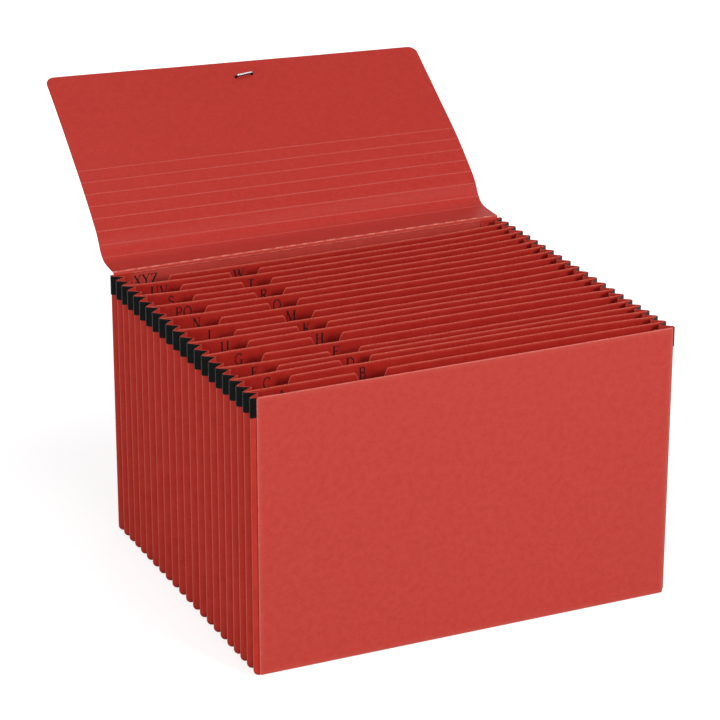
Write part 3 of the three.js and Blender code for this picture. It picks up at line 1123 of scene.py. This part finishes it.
class Glyphs:
    """Plain capital letters drawn with straight strokes and arcs in a cell one unit high.

    Each letter has its width and its strokes. A stroke is t, f or n for a thick, fair or thin line from
    one point to another, a for an arc by its middle, its two radii and its start and end in degrees,
    or s for a serif by its middle.
    """

    LINES: dict[str, tuple[float, str]] = {
        "A": (0.76, "n .06 0 .38 1;t .38 1 .70 0;n .17 .34 .58 .34;s .06 0;s .70 0"),
        "B": (0.68, "t .14 0 .14 1;n 0 1 .34 1;n .14 .52 .34 .52;n 0 0 .36 0;"
                    "a .34 .76 .20 .24 -90 90;a .36 .26 .24 .26 -90 90"),
        "C": (0.72, "a .40 .5 .34 .5 48 312;n .63 .68 .63 .98"),
        "D": (0.76, "t .14 0 .14 1;n 0 1 .36 1;n 0 0 .36 0;a .36 .5 .34 .5 -90 90"),
        "E": (0.64, "t .14 0 .14 1;n 0 1 .56 1;n .14 .52 .42 .52;n 0 0 .58 0;"
                    "n .56 1 .56 .78;n .58 0 .58 .24;n .42 .42 .42 .62"),
        "F": (0.60, "t .14 0 .14 1;s .14 0;n 0 1 .56 1;n .14 .52 .42 .52;"
                    "n .56 1 .56 .78;n .42 .42 .42 .62"),
        "G": (0.78, "a .40 .5 .34 .5 48 318;n .63 .68 .63 .98;t .64 .06 .64 .42;n .50 .42 .76 .42"),
        "H": (0.78, "t .14 0 .14 1;t .64 0 .64 1;n .14 .52 .64 .52;s .14 0;s .14 1;s .64 0;s .64 1"),
        "I": (0.36, "t .18 0 .18 1;s .18 0;s .18 1"),
        "J": (0.44, "t .26 .2 .26 1;s .26 1;a .13 .2 .13 .2 -180 0"),
        "K": (0.76, "t .14 0 .14 1;n .14 .42 .60 1;t .30 .58 .66 0;s .14 0;s .14 1;s .60 1;s .66 0"),
        "L": (0.62, "t .14 0 .14 1;s .14 1;n 0 0 .58 0;n .58 0 .58 .26"),
        "M": (0.96, "n .12 0 .12 1;t .12 1 .47 .06;n .47 .06 .82 1;t .82 0 .82 1;"
                    "s .12 0;s .82 0;s .12 1;s .82 1"),
        "N": (0.78, "n .12 0 .12 1;t .12 1 .66 0;n .66 0 .66 1;s .12 0;s .12 1;s .66 1"),
        "O": (0.78, "a .39 .5 .34 .5 0 360"),
        "P": (0.64, "t .14 0 .14 1;s .14 0;n 0 1 .34 1;n .14 .47 .34 .47;a .34 .735 .23 .265 -90 90"),
        "Q": (0.78, "a .39 .5 .34 .5 0 360;f .40 .04 .74 -.22"),
        "R": (0.74, "t .14 0 .14 1;s .14 0;n 0 1 .34 1;n .14 .5 .34 .5;"
                    "a .34 .75 .22 .25 -90 90;t .32 .5 .64 0;s .66 0"),
        "S": (0.58, "a .29 .75 .21 .25 35 270;a .29 .26 .23 .26 -145 90;"
                    "n .48 .72 .48 .98;n .08 .02 .08 .30"),
        "T": (0.68, "t .34 0 .34 1;s .34 0;n .04 1 .64 1;n .04 1 .04 .78;n .64 1 .64 .78"),
        "U": (0.78, "t .14 .3 .14 1;a .39 .3 .25 .3 180 360;n .64 .3 .64 1;s .14 1;s .64 1"),
        "V": (0.76, "t .08 1 .38 0;n .38 0 .68 1;s .08 1;s .68 1"),
        "W": (1.04, "t .08 1 .32 0;n .32 0 .54 .94;t .54 .94 .76 0;n .76 0 .98 1;s .08 1;s .98 1;s .52 1"),
        "X": (0.76, "t .10 1 .66 0;n .64 1 .10 0;s .10 0;s .10 1;s .66 0;s .64 1"),
        "Y": (0.74, "t .08 1 .37 .46;n .66 1 .37 .46;t .37 0 .37 .46;s .08 1;s .66 1;s .37 0"),
        "Z": (0.68, "n .08 1 .60 1;t .58 1 .08 0;n .08 0 .62 0;n .08 1 .08 .78;n .62 0 .62 .24"),
    }
    WEIGHTS = {"t": THICK, "f": FAIR, "n": THIN, "a": FAIR, "s": THIN}
    SERIF_HALF = 0.13
    FEWEST_ARC_POINTS = 9
    ARC_STEP_DEGREES = 12

    @classmethod
    def strokes(cls, letter: str) -> tuple[float, list[tuple[Grid, float]]]:
        """The strokes of a letter.

        Args:
            letter: one capital.

        Returns:
            The letter's width, and each stroke's points and breadth.
        """
        width, drawing = cls.LINES[letter]
        strokes = []
        for word in drawing.split(";"):
            kind, *numbers = word.split()
            values = [float(number) for number in numbers]
            if kind == "a":
                x, y, wide, high, start, end = values
                steps = max(cls.FEWEST_ARC_POINTS, int(abs(end - start) / cls.ARC_STEP_DEGREES))
                turns = np.radians(np.linspace(start, end, steps))
                points = np.column_stack([x + wide * np.cos(turns), y + high * np.sin(turns)])
            elif kind == "s":
                x, y = values
                points = np.array([[x - cls.SERIF_HALF, y], [x + cls.SERIF_HALF, y]])
            else:
                points = np.array(values).reshape(2, 2)
            strokes.append((points, cls.WEIGHTS[kind]))
        return width, strokes


@dataclass
class IndexLetters:
    """The printed index on the sheets: one mark a pocket, left and near the centre in turn."""

    dividers: Dividers
    words: Sequence[str] = ("A", "B", "C", "D", "E", "F", "G", "H", "IJ", "K", "L", "M", "N", "O",
                            "PQ", "R", "S", "T", "UV", "W", "XYZ")
    height: float = 9.4
    centre_down: float = 8.6
    left_x: float = -158.0
    centre_x: float = -79.0
    spacing: float = 0.10
    ink: float = 0.04
    stand: float = 0.02

    def stroke(self, points: Grid, breadth: float) -> tuple[Grid, Grid]:
        """The two edges of a stroke.

        Args:
            points: the stroke's middle line.
            breadth: how broad it is.

        Returns:
            Its left and right edge.
        """
        along = np.gradient(points, axis=0)
        along = along / np.linalg.norm(along, axis=1, keepdims=True)
        side = np.column_stack([-along[:, 1], along[:, 0]]) * breadth / 2
        return points + side, points - side

    def face_depth(self, number: int) -> Callable[[Grid, Grid], Grid]:
        """The face that a pocket's mark is printed on.

        Args:
            number: the pocket's number, from 1 at the front.

        Returns:
            A function that gives the face's depth at X and Z.
        """
        form = self.dividers.form
        if number < form.pockets:
            return lambda x, z: self.dividers.depth(number, x, z) - form.paper / 2 - self.stand
        return lambda x, z: np.full_like(x, form.back_middle - form.board / 2 - self.stand)

    def ink_bar(self, line: Grid, breadth: float, corner: Pair,
                depth: Callable[[Grid, Grid], Grid]) -> Grid:
        """One stroke as a thin bar of ink on its sheet.

        Args:
            line: the stroke's middle line in the letter's cell.
            breadth: how broad it is, as a share of the letter's height.
            corner: X and Z of the cell's lower left corner.
            depth: the sheet's depth at X and Z.

        Returns:
            Four rows of points along the bar, in order round it.
        """
        left, right = self.stroke(line * self.height, breadth * self.height)
        rows = []
        for edge, stands in ((left, (0.0, self.ink)), (right, (self.ink, 0.0))):
            x, z = corner[0] + edge[:, 0], corner[1] + edge[:, 1]
            face = depth(x, z)
            rows += [np.column_stack([x, face - stand, z]) for stand in stands]
        return np.array(rows)

    def bars(self) -> list[Grid]:
        """All strokes of the whole index.

        Returns:
            One bar of ink for each stroke.
        """
        bars = []
        foot = self.dividers.form.height - self.centre_down - self.height / 2
        for number, word in enumerate(self.words, start=1):
            centre_x = self.left_x if number % 2 else self.centre_x
            widths = [Glyphs.LINES[letter][0] for letter in word]
            pen = centre_x - (sum(widths) + self.spacing * (len(word) - 1)) * self.height / 2
            depth = self.face_depth(number)
            for letter in word:
                width, strokes = Glyphs.strokes(letter)
                bars += [self.ink_bar(line, breadth, (pen, foot), depth) for line, breadth in strokes]
                pen += (width + self.spacing) * self.height
        return bars

    def build(self) -> list[bpy.types.Object]:
        """Build and dress the index as one thin piece of ink.

        Returns:
            The index alone, in a list.
        """
        bars = self.bars()
        faces: list[tuple[int, ...]] = []
        count = 0
        for bar in bars:
            sides, size, _ = bar.shape
            at = (count + np.arange(sides * size).reshape(sides, size)).tolist()
            neighbours = list(zip(at, [*at[1:], at[0]]))
            for k in range(size - 1):
                faces += [(here[k], after[k], after[k + 1], here[k + 1]) for here, after in neighbours]
            faces.append(tuple(row[0] for row in reversed(at)))
            faces.append(tuple(row[-1] for row in at))
            count += sides * size
        points = np.concatenate([bar.reshape(-1, 3) for bar in bars])
        piece = mesh_piece("index_letters", points, faces, np.zeros(len(points)))
        piece.data.polygons.foreach_set("use_smooth", [False] * len(piece.data.polygons))
        return [dress(piece, PrintInk().material(), None, Body.FILE)]


@dataclass
class FlapForm:
    """The laid-back flap's curve: slopes in degrees down its two edges, and places on it."""

    form: FileForm
    length: float = 218.0
    inset: float = 3.0
    left_slopes: Sequence[Pair] = ((0, 0), (0.07, 6), (0.185, 61), (0.27, 45), (0.6, 40), (1, 37.5))
    right_slopes: Sequence[Pair] = ((0, 0), (0.1, 3), (0.215, 61), (0.3, 41.5), (0.6, 34), (1, 33.5))
    step: float = 0.25

    def __post_init__(self) -> None:
        """Walk both edges once, so that places on them can be looked up."""
        self.walk = np.arange(0, self.length + self.step, self.step)
        self.edges = [self.edge(slopes) for slopes in (self.left_slopes, self.right_slopes)]

    @property
    def width(self) -> float:
        """The flap's width."""
        return 2 * (self.form.half_width - self.inset)

    def slope(self, slopes: Sequence[Pair], distance: Grid) -> Grid:
        """The eased slope at distances from the crease.

        Args:
            slopes: shares of the flap's length, and the slope in degrees there.
            distance: distances from the crease.

        Returns:
            The slope at each, in radians.
        """
        out = np.clip(distance / self.length, 0, 1)
        knots = np.array(slopes, dtype=float)
        after = np.clip(np.searchsorted(knots[:, 0], out), 1, len(knots) - 1)
        share = (out - knots[after - 1, 0]) / (knots[after, 0] - knots[after - 1, 0])
        share = share * share * (3 - 2 * share)
        return np.radians(knots[after - 1, 1] + (knots[after, 1] - knots[after - 1, 1]) * share)

    def edge(self, slopes: Sequence[Pair]) -> tuple[Grid, Grid, Grid]:
        """Walk one edge of the flap.

        Args:
            slopes: shares of the flap's length, and the slope in degrees there.

        Returns:
            Depth, height and slope along the edge.
        """
        middles = self.slope(slopes, self.walk[:-1] + self.step / 2)
        depth = np.concatenate([[0], np.cumsum(np.cos(middles))]) * self.step + self.form.back_middle
        height = np.concatenate([[0], np.cumsum(np.sin(middles))]) * self.step + self.form.crease_height
        return depth, height, self.slope(slopes, self.walk)

    def point(self, distance: Grid, share: Grid, lift: Grid) -> Grid:
        """Points of the flap.

        Args:
            distance: distances from the crease.
            share: 0 at the left edge, 1 at the right edge.
            lift: height above the board's middle.

        Returns:
            The points, one row of three numbers each, in the shape of distance.
        """
        distance, share, lift = np.broadcast_arrays(distance, share, lift)
        sides = [[np.interp(distance, self.walk, row) for row in edge] for edge in self.edges]
        depth, height, slope = (left + (right - left) * share for left, right in zip(*sides))
        x = self.width / 2 * (2 * share - 1)
        return np.stack([x, depth - lift * np.sin(slope), height + lift * np.cos(slope)], axis=-1)


@dataclass
class Flap:
    """The pressboard flap with its pressed score lines and rounded corners."""

    shape: FlapForm
    start: float = 1.0
    corner: float = 8.0
    scores: int = 8
    first_score: float = 28.0
    score_spacing: float = 12.4
    score_half: float = 0.75
    score_height: float = 0.25
    score_wear: float = 0.34
    rim_wear: float = 0.15
    row_spacing: float = 2.0
    rows_near_score: Sequence[float] = (-1.6, -0.75, -0.5, -0.25, 0.0, 0.25, 0.5, 0.75, 1.6)
    first_row_spacing: float = 0.4
    least_step: float = 0.04
    corner_points: int = 14
    columns: int = 60
    edge_columns: Sequence[float] = (0.0, 0.002, 0.01)
    wave: float = 0.25
    wave_length: float = 210.0
    wave_slant: float = 0.6
    wave_seed: int = 11
    calm_length: float = 60.0

    @property
    def marks(self) -> Grid:
        """Distances of the score lines from the crease."""
        return self.first_score + self.score_spacing * np.arange(self.scores)

    def distances(self) -> Grid:
        """Where the flap's rows stand, closer at its score lines and corners.

        Returns:
            Distances from the crease.
        """
        near = np.array(self.rows_near_score)
        corner_start = self.shape.length - self.corner
        turns = np.linspace(0, math.pi / 2, self.corner_points)
        rows = np.concatenate([np.arange(self.start, corner_start, self.row_spacing),
                               [self.start, self.start + self.first_row_spacing],
                               *[mark + near for mark in self.marks],
                               corner_start + self.corner * np.sin(turns)])
        rows = np.unique(np.round(rows, 3))
        return rows[np.concatenate([[True], np.diff(rows) > self.least_step])]

    def ridge(self, distance: Grid) -> Grid:
        """How much of a score line's ridge stands at a distance.

        Args:
            distance: distances from the crease.

        Returns:
            The share at each, from 0 to 1.
        """
        off = np.min(np.abs(distance[:, None] - self.marks[None, :]), axis=1)
        return np.where(off < self.score_half, np.cos(off / self.score_half * math.pi / 2) ** 2, 0.0)

    def build(self) -> list[bpy.types.Object]:
        """Build and dress the flap.

        Returns:
            The flap alone, in a list.
        """
        shape = self.shape
        distance = self.distances()
        past = np.clip(distance - (shape.length - self.corner), 0, self.corner)
        trim = (self.corner - np.sqrt(self.corner ** 2 - past ** 2)) / shape.width
        *edge, inner = self.edge_columns
        far_edge = [1 - share for share in reversed(edge)]
        across = np.concatenate([edge, np.linspace(inner, 1 - inner, self.columns), far_edge])
        share = trim[:, None] + (1 - 2 * trim[:, None]) * across[None, :]
        out = np.broadcast_to(distance[:, None], share.shape)
        half = shape.form.board / 2
        slanted = out + self.wave_slant * shape.width * share
        sway = waviness(slanted, self.wave_seed, self.wave_length, self.wave)
        sway = sway * np.clip(out / self.calm_length, 0, 1)
        ridge = self.ridge(distance)[:, None]
        upper = shape.point(out, share, half + self.score_height * ridge + sway)
        lower = shape.point(out, share, -half + sway)
        wear = np.broadcast_to(self.score_wear * ridge, share.shape).copy()
        piece = closed_sheet("flap_board", upper, lower, wear, self.rim_wear)
        return [dress(piece, INSIDE_BOARD.material(), Slot.BOARD, Body.FLAP, "flap")]


class CreaseFace(Enum):
    """The faces of the folded board that the crease's points stand on."""

    POCKET_SIDE = "the back cover's face towards the pockets"
    UPPER = "the flap's upper face"
    UNDER = "the flap's underside"
    OUTSIDE = "the back cover's outer face"


@dataclass
class Crease:
    """The worn double ridge where back cover and flap meet.

    Its profile goes once round the fold: the face, how far along the board from the crease, how far the
    point stands out from the face, and its wear. On the back cover the distance is down from the crease.
    """

    shape: FlapForm
    steps: int = 300
    rough: float = 0.12
    rough_lengths: Pair = (9.0, 7.0)
    rough_seeds: tuple[int, int] = (60, 70)
    worn_rows: Sequence[int] = (2, 6, 7)
    wear_middle: float = 0.62
    wear_swing: float = 0.75
    wear_length: float = 13.0
    wear_seed: int = 80
    least_wear: float = 0.15
    blend_start: Pair = (0.0, -0.8)
    blend_end: Pair = (0.9, 0.3)
    profile: Sequence[tuple[CreaseFace, float, float, float]] = (
        (CreaseFace.POCKET_SIDE, 3.3, 0.03, 0.0), (CreaseFace.POCKET_SIDE, 2.9, 0.10, 0.10),
        (CreaseFace.POCKET_SIDE, 2.5, 0.34, 0.75), (CreaseFace.POCKET_SIDE, 2.1, 0.12, 0.10),
        (CreaseFace.POCKET_SIDE, 1.0, 0.05, 0.0), (CreaseFace.POCKET_SIDE, 0.3, 0.20, 0.15),
        (CreaseFace.UPPER, 0.1, 0.30, 1.0), (CreaseFace.UPPER, 0.7, 0.34, 0.85),
        (CreaseFace.UPPER, 1.2, 0.10, 0.1), (CreaseFace.UPPER, 2.1, 0.03, 0.0),
        (CreaseFace.UNDER, 2.1, 0.03, 0.0), (CreaseFace.UNDER, 0.9, 0.20, 0.5),
        (CreaseFace.OUTSIDE, 0.8, 0.24, 0.5), (CreaseFace.OUTSIDE, 1.9, 0.03, 0.2),
        (CreaseFace.OUTSIDE, 3.3, 0.02, 0.0))

    def row(self, face: CreaseFace, away: float, stand: float, share: Grid) -> Grid:
        """One row of points along the crease.

        Args:
            face: the face that the row stands on.
            away: its distance from the crease along the board.
            stand: how far it stands out from the face.
            share: places across, 0 at the left edge and 1 at the right edge.

        Returns:
            The row's points.
        """
        form = self.shape.form
        out = form.board / 2 + stand
        if face in (CreaseFace.UPPER, CreaseFace.UNDER):
            lift = out if face is CreaseFace.UPPER else -out
            return self.shape.point(np.full_like(share, away), share, np.full_like(share, lift))
        depth = form.back_middle + (out if face is CreaseFace.OUTSIDE else -out)
        x = self.shape.width / 2 * (2 * share - 1)
        return np.column_stack([x, np.full_like(x, depth), np.full_like(x, form.crease_height - away)])

    def build(self) -> list[bpy.types.Object]:
        """Build the crease and give it its finish.

        Returns:
            The crease alone, in a list.
        """
        share = np.linspace(0, 1, self.steps)
        ring = np.array([self.row(face, away, stand, share) for face, away, stand, _ in self.profile])
        wear = np.repeat([[worn] for *_, worn in self.profile], self.steps, axis=1)
        x = ring[0][:, 0]
        for row in self.worn_rows:
            for axis, sign, seed, length in zip((1, 2), (-1, 1), self.rough_seeds, self.rough_lengths):
                ring[row][:, axis] += sign * waviness(x, seed + row, length, self.rough)
            patches = waviness(x, self.wear_seed + row, self.wear_length, self.wear_swing)
            wear[row] *= np.clip(self.wear_middle + patches, self.least_wear, 1)
        count = len(ring)
        number = np.arange(count * self.steps).reshape(count, self.steps)
        after = np.roll(number, -1, axis=0)
        quads = np.stack([number[:, :-1], number[:, 1:], after[:, 1:], after[:, :-1]], axis=-1)
        faces = quads.reshape(-1, 4).tolist() + [number[:, 0].tolist(), number[::-1, -1].tolist()]
        piece = mesh_piece("flap_crease", ring.reshape(-1, 3), faces, wear.ravel())
        piece.data.materials.append(CREASED_BOARD.material())
        crease = Vector((0.0, self.shape.form.back_middle, self.shape.form.crease_height))
        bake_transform(piece)
        return [piece]


@dataclass
class FlapClip:
    """The bent wire bar on the flap's inner face, turned a little askew."""

    shape: FlapForm
    length: float = 19.0
    wire_radius: float = 1.1
    rise: float = 2.9
    bend: float = 1.6
    from_edge: float = 17.5
    off_centre: float = 3.0
    turn_degrees: float = 7.0
    sides: int = 24
    bend_steps: int = 8
    bar_steps: int = 8
    # painted shade: the side facing down the flap, and the bends, are darkened through the wear attribute
    facing_down: Pair = (-0.85, -0.52)
    underside_shade: Pair = (0.55, 2.5)

    def path(self) -> Grid:
        """The wire's middle line, drawn flat.

        Returns:
            Rows of X along the bar and Z up from the flap.
        """
        reach = self.length / 2 - self.wire_radius
        foot = self.shape.form.gap
        turns = np.linspace(0, math.pi / 2, self.bend_steps)
        corner = np.column_stack([-reach + self.bend * (1 - np.cos(turns)),
                                  self.rise - self.bend + self.bend * np.sin(turns)])
        left = np.vstack([[-reach, foot], [-reach, (foot + self.rise - self.bend) / 2], corner])
        bar = np.linspace(-reach + self.bend, reach - self.bend, self.bar_steps + 1)[1:-1]
        middle = np.column_stack([bar, np.full(len(bar), self.rise)])
        right = left[::-1] * np.array([-1, 1])
        return np.vstack([left, middle, right])

    def tube(self, path: Grid, turns: Grid) -> Grid:
        """The wire's skin round its middle line.

        Args:
            path: the middle line.
            turns: the angles of the skin's points, from the uphill side over the top.

        Returns:
            Points in the clip's own axes, path by turns by 3.
        """
        along = np.gradient(path, axis=0)
        along = along / np.linalg.norm(along, axis=1, keepdims=True)
        side = self.wire_radius * np.cos(turns)
        out = self.wire_radius * np.sin(turns)
        return np.array([np.column_stack([x - dz * out, side, z + dx * out])
                         for (x, z), (dx, dz) in zip(path, along)])

    def wear(self, path: Grid, turns: Grid) -> Grid:
        """Painted shade: the bends, and the side that faces down the flap, are made dark.

        Args:
            path: the wire's middle line.
            turns: the angles of the skin's points.

        Returns:
            The wear at each point of the skin.
        """
        bends = np.clip(np.abs(path[:, 0]) - (self.length / 2 - self.wire_radius - self.bend), 0, 1)
        down = self.facing_down[0] * np.cos(turns) + self.facing_down[1] * np.sin(turns)
        least, growth = self.underside_shade
        return np.maximum(bends[:, None], np.clip(least + growth * down, 0, 1)[None, :])

    def seat(self) -> tuple[Grid, Grid]:
        """Where the clip sits on the flap.

        Returns:
            Its three axes as rows, and the middle of its foot.
        """
        shape = self.shape
        distance = shape.length - self.from_edge
        share = 0.5 + self.off_centre / shape.width
        across = Vector(shape.point(distance, 1.0, 0.0) - shape.point(distance, 0.0, 0.0)).normalized()
        up = Vector(shape.point(distance, share, 1.0) - shape.point(distance, share, 0.0))
        uphill = up.cross(across).normalized()
        facing = across.cross(uphill).normalized()
        angle = math.radians(self.turn_degrees)
        bar = across * math.cos(angle) + uphill * math.sin(angle)
        side = uphill * math.cos(angle) - across * math.sin(angle)
        return np.array(Matrix((bar, side, facing))), shape.point(distance, share, shape.form.board / 2)

    def build(self) -> list[bpy.types.Object]:
        """Build and dress the clip.

        Returns:
            The clip alone, in a list.
        """
        path = self.path()
        turns = np.linspace(0, 2 * math.pi, self.sides, endpoint=False)
        axes, seat = self.seat()
        points = self.tube(path, turns).reshape(-1, 3) @ axes + seat
        number = np.arange(len(points)).reshape(len(path), self.sides)
        after = np.roll(number, -1, axis=1)
        quads = np.stack([number[:-1], after[:-1], after[1:], number[1:]], axis=-1).reshape(-1, 4)
        faces = quads.tolist() + [number[0, ::-1].tolist(), number[-1].tolist()]
        sharp = np.zeros(len(points), dtype=int)
        sharp[number[0]] = 1
        sharp[number[-1]] = 2
        # the clip's wear attribute holds its painted shade
        piece = mesh_piece("clip_wire", points, faces, self.wear(path, turns).ravel(), sharp)
        return [dress(piece, PlatedWire().material(), Slot.CLIP, Body.FLAP, "flap_clip")]


@dataclass
class Studio:
    """Plain pale floor, plain soft light and a white backdrop."""

    fill: float = 0.33
    lamps: Sequence[tuple[str, Triple, float, float]] = (
        ("front_lamp", (1.36, -2.83, 1.69), 1.3, 58.0), ("left_lamp", (-2.6, -1.95, 0.8), 2.0, 38.0),
        ("top_lamp", (0.2, -0.4, 3.1), 1.2, 15.0))
    lamps_aim: Triple = (0.0, 0.0, 0.15)
    white: tuple[float, ...] = (1.0, 1.0, 1.0, 1.0)
    floor_half: float = 8.0
    floor_drop: float = 0.4
    floor_glow: Sequence[Pair] = ((0.35, 0.76), (1.1, 1.0))
    floor_grey: float = 0.55

    @staticmethod
    def seen_direct(tree: bpy.types.NodeTree) -> bpy.types.NodeSocket:
        """A value that tells the rays that show a surface from those that light one.

        Args:
            tree: the node tree to add it to.

        Returns:
            1 for camera, glossy and transmission rays, and 0 for the others.
        """
        path = tree.nodes.new("ShaderNodeLightPath")
        total = path.outputs["Is Camera Ray"]
        for name in ("Is Glossy Ray", "Is Transmission Ray"):
            node = tree.nodes.new("ShaderNodeMath")
            node.operation = "MAXIMUM"
            tree.links.new(total, node.inputs[0])
            tree.links.new(path.outputs[name], node.inputs[1])
            total = node.outputs[0]
        return total

    def world(self) -> None:
        """Light the scene evenly, and show white where the camera sees past the floor."""
        world = bpy.data.worlds.new("studio_light")
        bpy.context.scene.world = world
        world.use_nodes = True
        tree = world.node_tree
        tree.nodes.clear()
        output = tree.nodes.new("ShaderNodeOutputWorld")
        mix = tree.nodes.new("ShaderNodeMixShader")
        light, seen = tree.nodes.new("ShaderNodeBackground"), tree.nodes.new("ShaderNodeBackground")
        light.inputs["Strength"].default_value = self.fill
        for background in (light, seen):
            background.inputs["Color"].default_value = self.white
        tree.links.new(self.seen_direct(tree), mix.inputs["Fac"])
        tree.links.new(light.outputs[0], mix.inputs[1])
        tree.links.new(seen.outputs[0], mix.inputs[2])
        tree.links.new(mix.outputs[0], output.inputs["Surface"])

    def floor_finish(self) -> bpy.types.Material:
        """Make the floor's pale finish, which shows white away from the file and keeps its shadow.

        Returns:
            The material.
        """
        material = bpy.data.materials.new("pale_floor")
        material.use_nodes = True
        tree = material.node_tree
        shader = tree.nodes["Principled BSDF"]
        values = {"Base Color": (*[self.floor_grey] * 3, 1), "Roughness": 1.0, "Specular IOR Level": 0.0,
                  "Emission Color": self.white}
        for name, value in values.items():
            shader.inputs[name].default_value = value
        place = tree.nodes.new("ShaderNodeTexCoord")
        away = tree.nodes.new("ShaderNodeVectorMath")
        away.operation = "LENGTH"
        tree.links.new(place.outputs["Object"], away.inputs[0])
        fade = tree.nodes.new("ShaderNodeMapRange")
        (near, near_glow), (far, far_glow) = self.floor_glow
        limits = {"From Min": near, "From Max": far, "To Min": near_glow, "To Max": far_glow}
        for name, value in limits.items():
            fade.inputs[name].default_value = value
        tree.links.new(away.outputs["Value"], fade.inputs["Value"])
        glow = tree.nodes.new("ShaderNodeMath")
        glow.operation = "MULTIPLY"
        tree.links.new(self.seen_direct(tree), glow.inputs[0])
        tree.links.new(fade.outputs["Result"], glow.inputs[1])
        tree.links.new(glow.outputs[0], shader.inputs["Emission Strength"])
        return material

    def floor(self) -> None:
        """Lay the floor under the file."""
        mesh = bpy.data.meshes.new("floor")
        half, low = self.floor_half, -self.floor_drop * MM
        corners = [(-half, -half, low), (half, -half, low), (half, half, low), (-half, half, low)]
        mesh.from_pydata(corners, [], [(0, 1, 2, 3)])
        mesh.materials.append(self.floor_finish())
        floor = bpy.data.objects.new("floor", mesh)
        bpy.context.scene.collection.objects.link(floor)

    def lights(self) -> None:
        """Hang large soft lamps in front of the file, to its left and above it."""
        for name, place, size, power in self.lamps:
            lamp = bpy.data.lights.new(name, "AREA")
            lamp.shape = "DISK"
            lamp.size = size
            lamp.energy = power
            light = bpy.data.objects.new(name, lamp)
            bpy.context.scene.collection.objects.link(light)
            light.location = place
            aim = Vector(self.lamps_aim) - Vector(place)
            light.rotation_euler = aim.to_track_quat("-Z", "Y").to_euler()

    def build(self) -> None:
        """Set up light, floor and colour."""
        self.world()
        self.floor()
        self.lights()
        bpy.context.scene.view_settings.view_transform = "Standard"


@dataclass
class PhotoCamera:
    """The camera at the photograph's angle."""

    place: Triple = (-1.0205, -2.2471, 1.1171)
    target: Triple = (0.0, 0.0421, 0.1215)
    roll_degrees: float = -0.2
    lens: float = 149.46
    sensor_width: float = 36.0
    reach: float = 50.0
    shift_x: float = 0.0509
    shift_y: float = 0.0303

    def build(self) -> None:
        """Place the camera and make it the scene's."""
        data = bpy.data.cameras.new("photo_camera")
        data.lens = self.lens
        data.sensor_width = self.sensor_width
        data.shift_x, data.shift_y = self.shift_x, self.shift_y
        data.clip_end = self.reach
        camera = bpy.data.objects.new("photo_camera", data)
        bpy.context.scene.collection.objects.link(camera)
        forward = (Vector(self.target) - Vector(self.place)).normalized()
        right = forward.cross(Vector((0, 0, 1))).normalized()
        up = right.cross(forward)
        roll = math.radians(self.roll_degrees)
        tilted = right * math.cos(roll) + up * math.sin(roll)
        upright = up * math.cos(roll) - right * math.sin(roll)
        matrix = Matrix((tilted, upright, -forward)).transposed().to_4x4()
        matrix.translation = Vector(self.place)
        camera.matrix_world = matrix
        bpy.context.scene.camera = camera


def main() -> None:
    """Build the file's pieces in order and report each."""
    logging.basicConfig(level=logging.INFO, format="%(message)s")
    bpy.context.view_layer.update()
    form = FileForm()
    covers = Covers(form)
    section = PleatSection(form)
    dividers = Dividers(form)
    flap_form = FlapForm(form)
    assemblies = [covers, Gusset(form, section), EdgeTapes(form, section, covers), dividers,
                  IndexLetters(dividers), Flap(flap_form), Crease(flap_form), FlapClip(flap_form)]
    for assembly in assemblies:
        for piece in assembly.build():
            LOG.info("%s: %d faces", piece.name, len(piece.data.polygons))
    Studio().build()
    PhotoCamera().build()


if __name__ == "__main__":
    main()
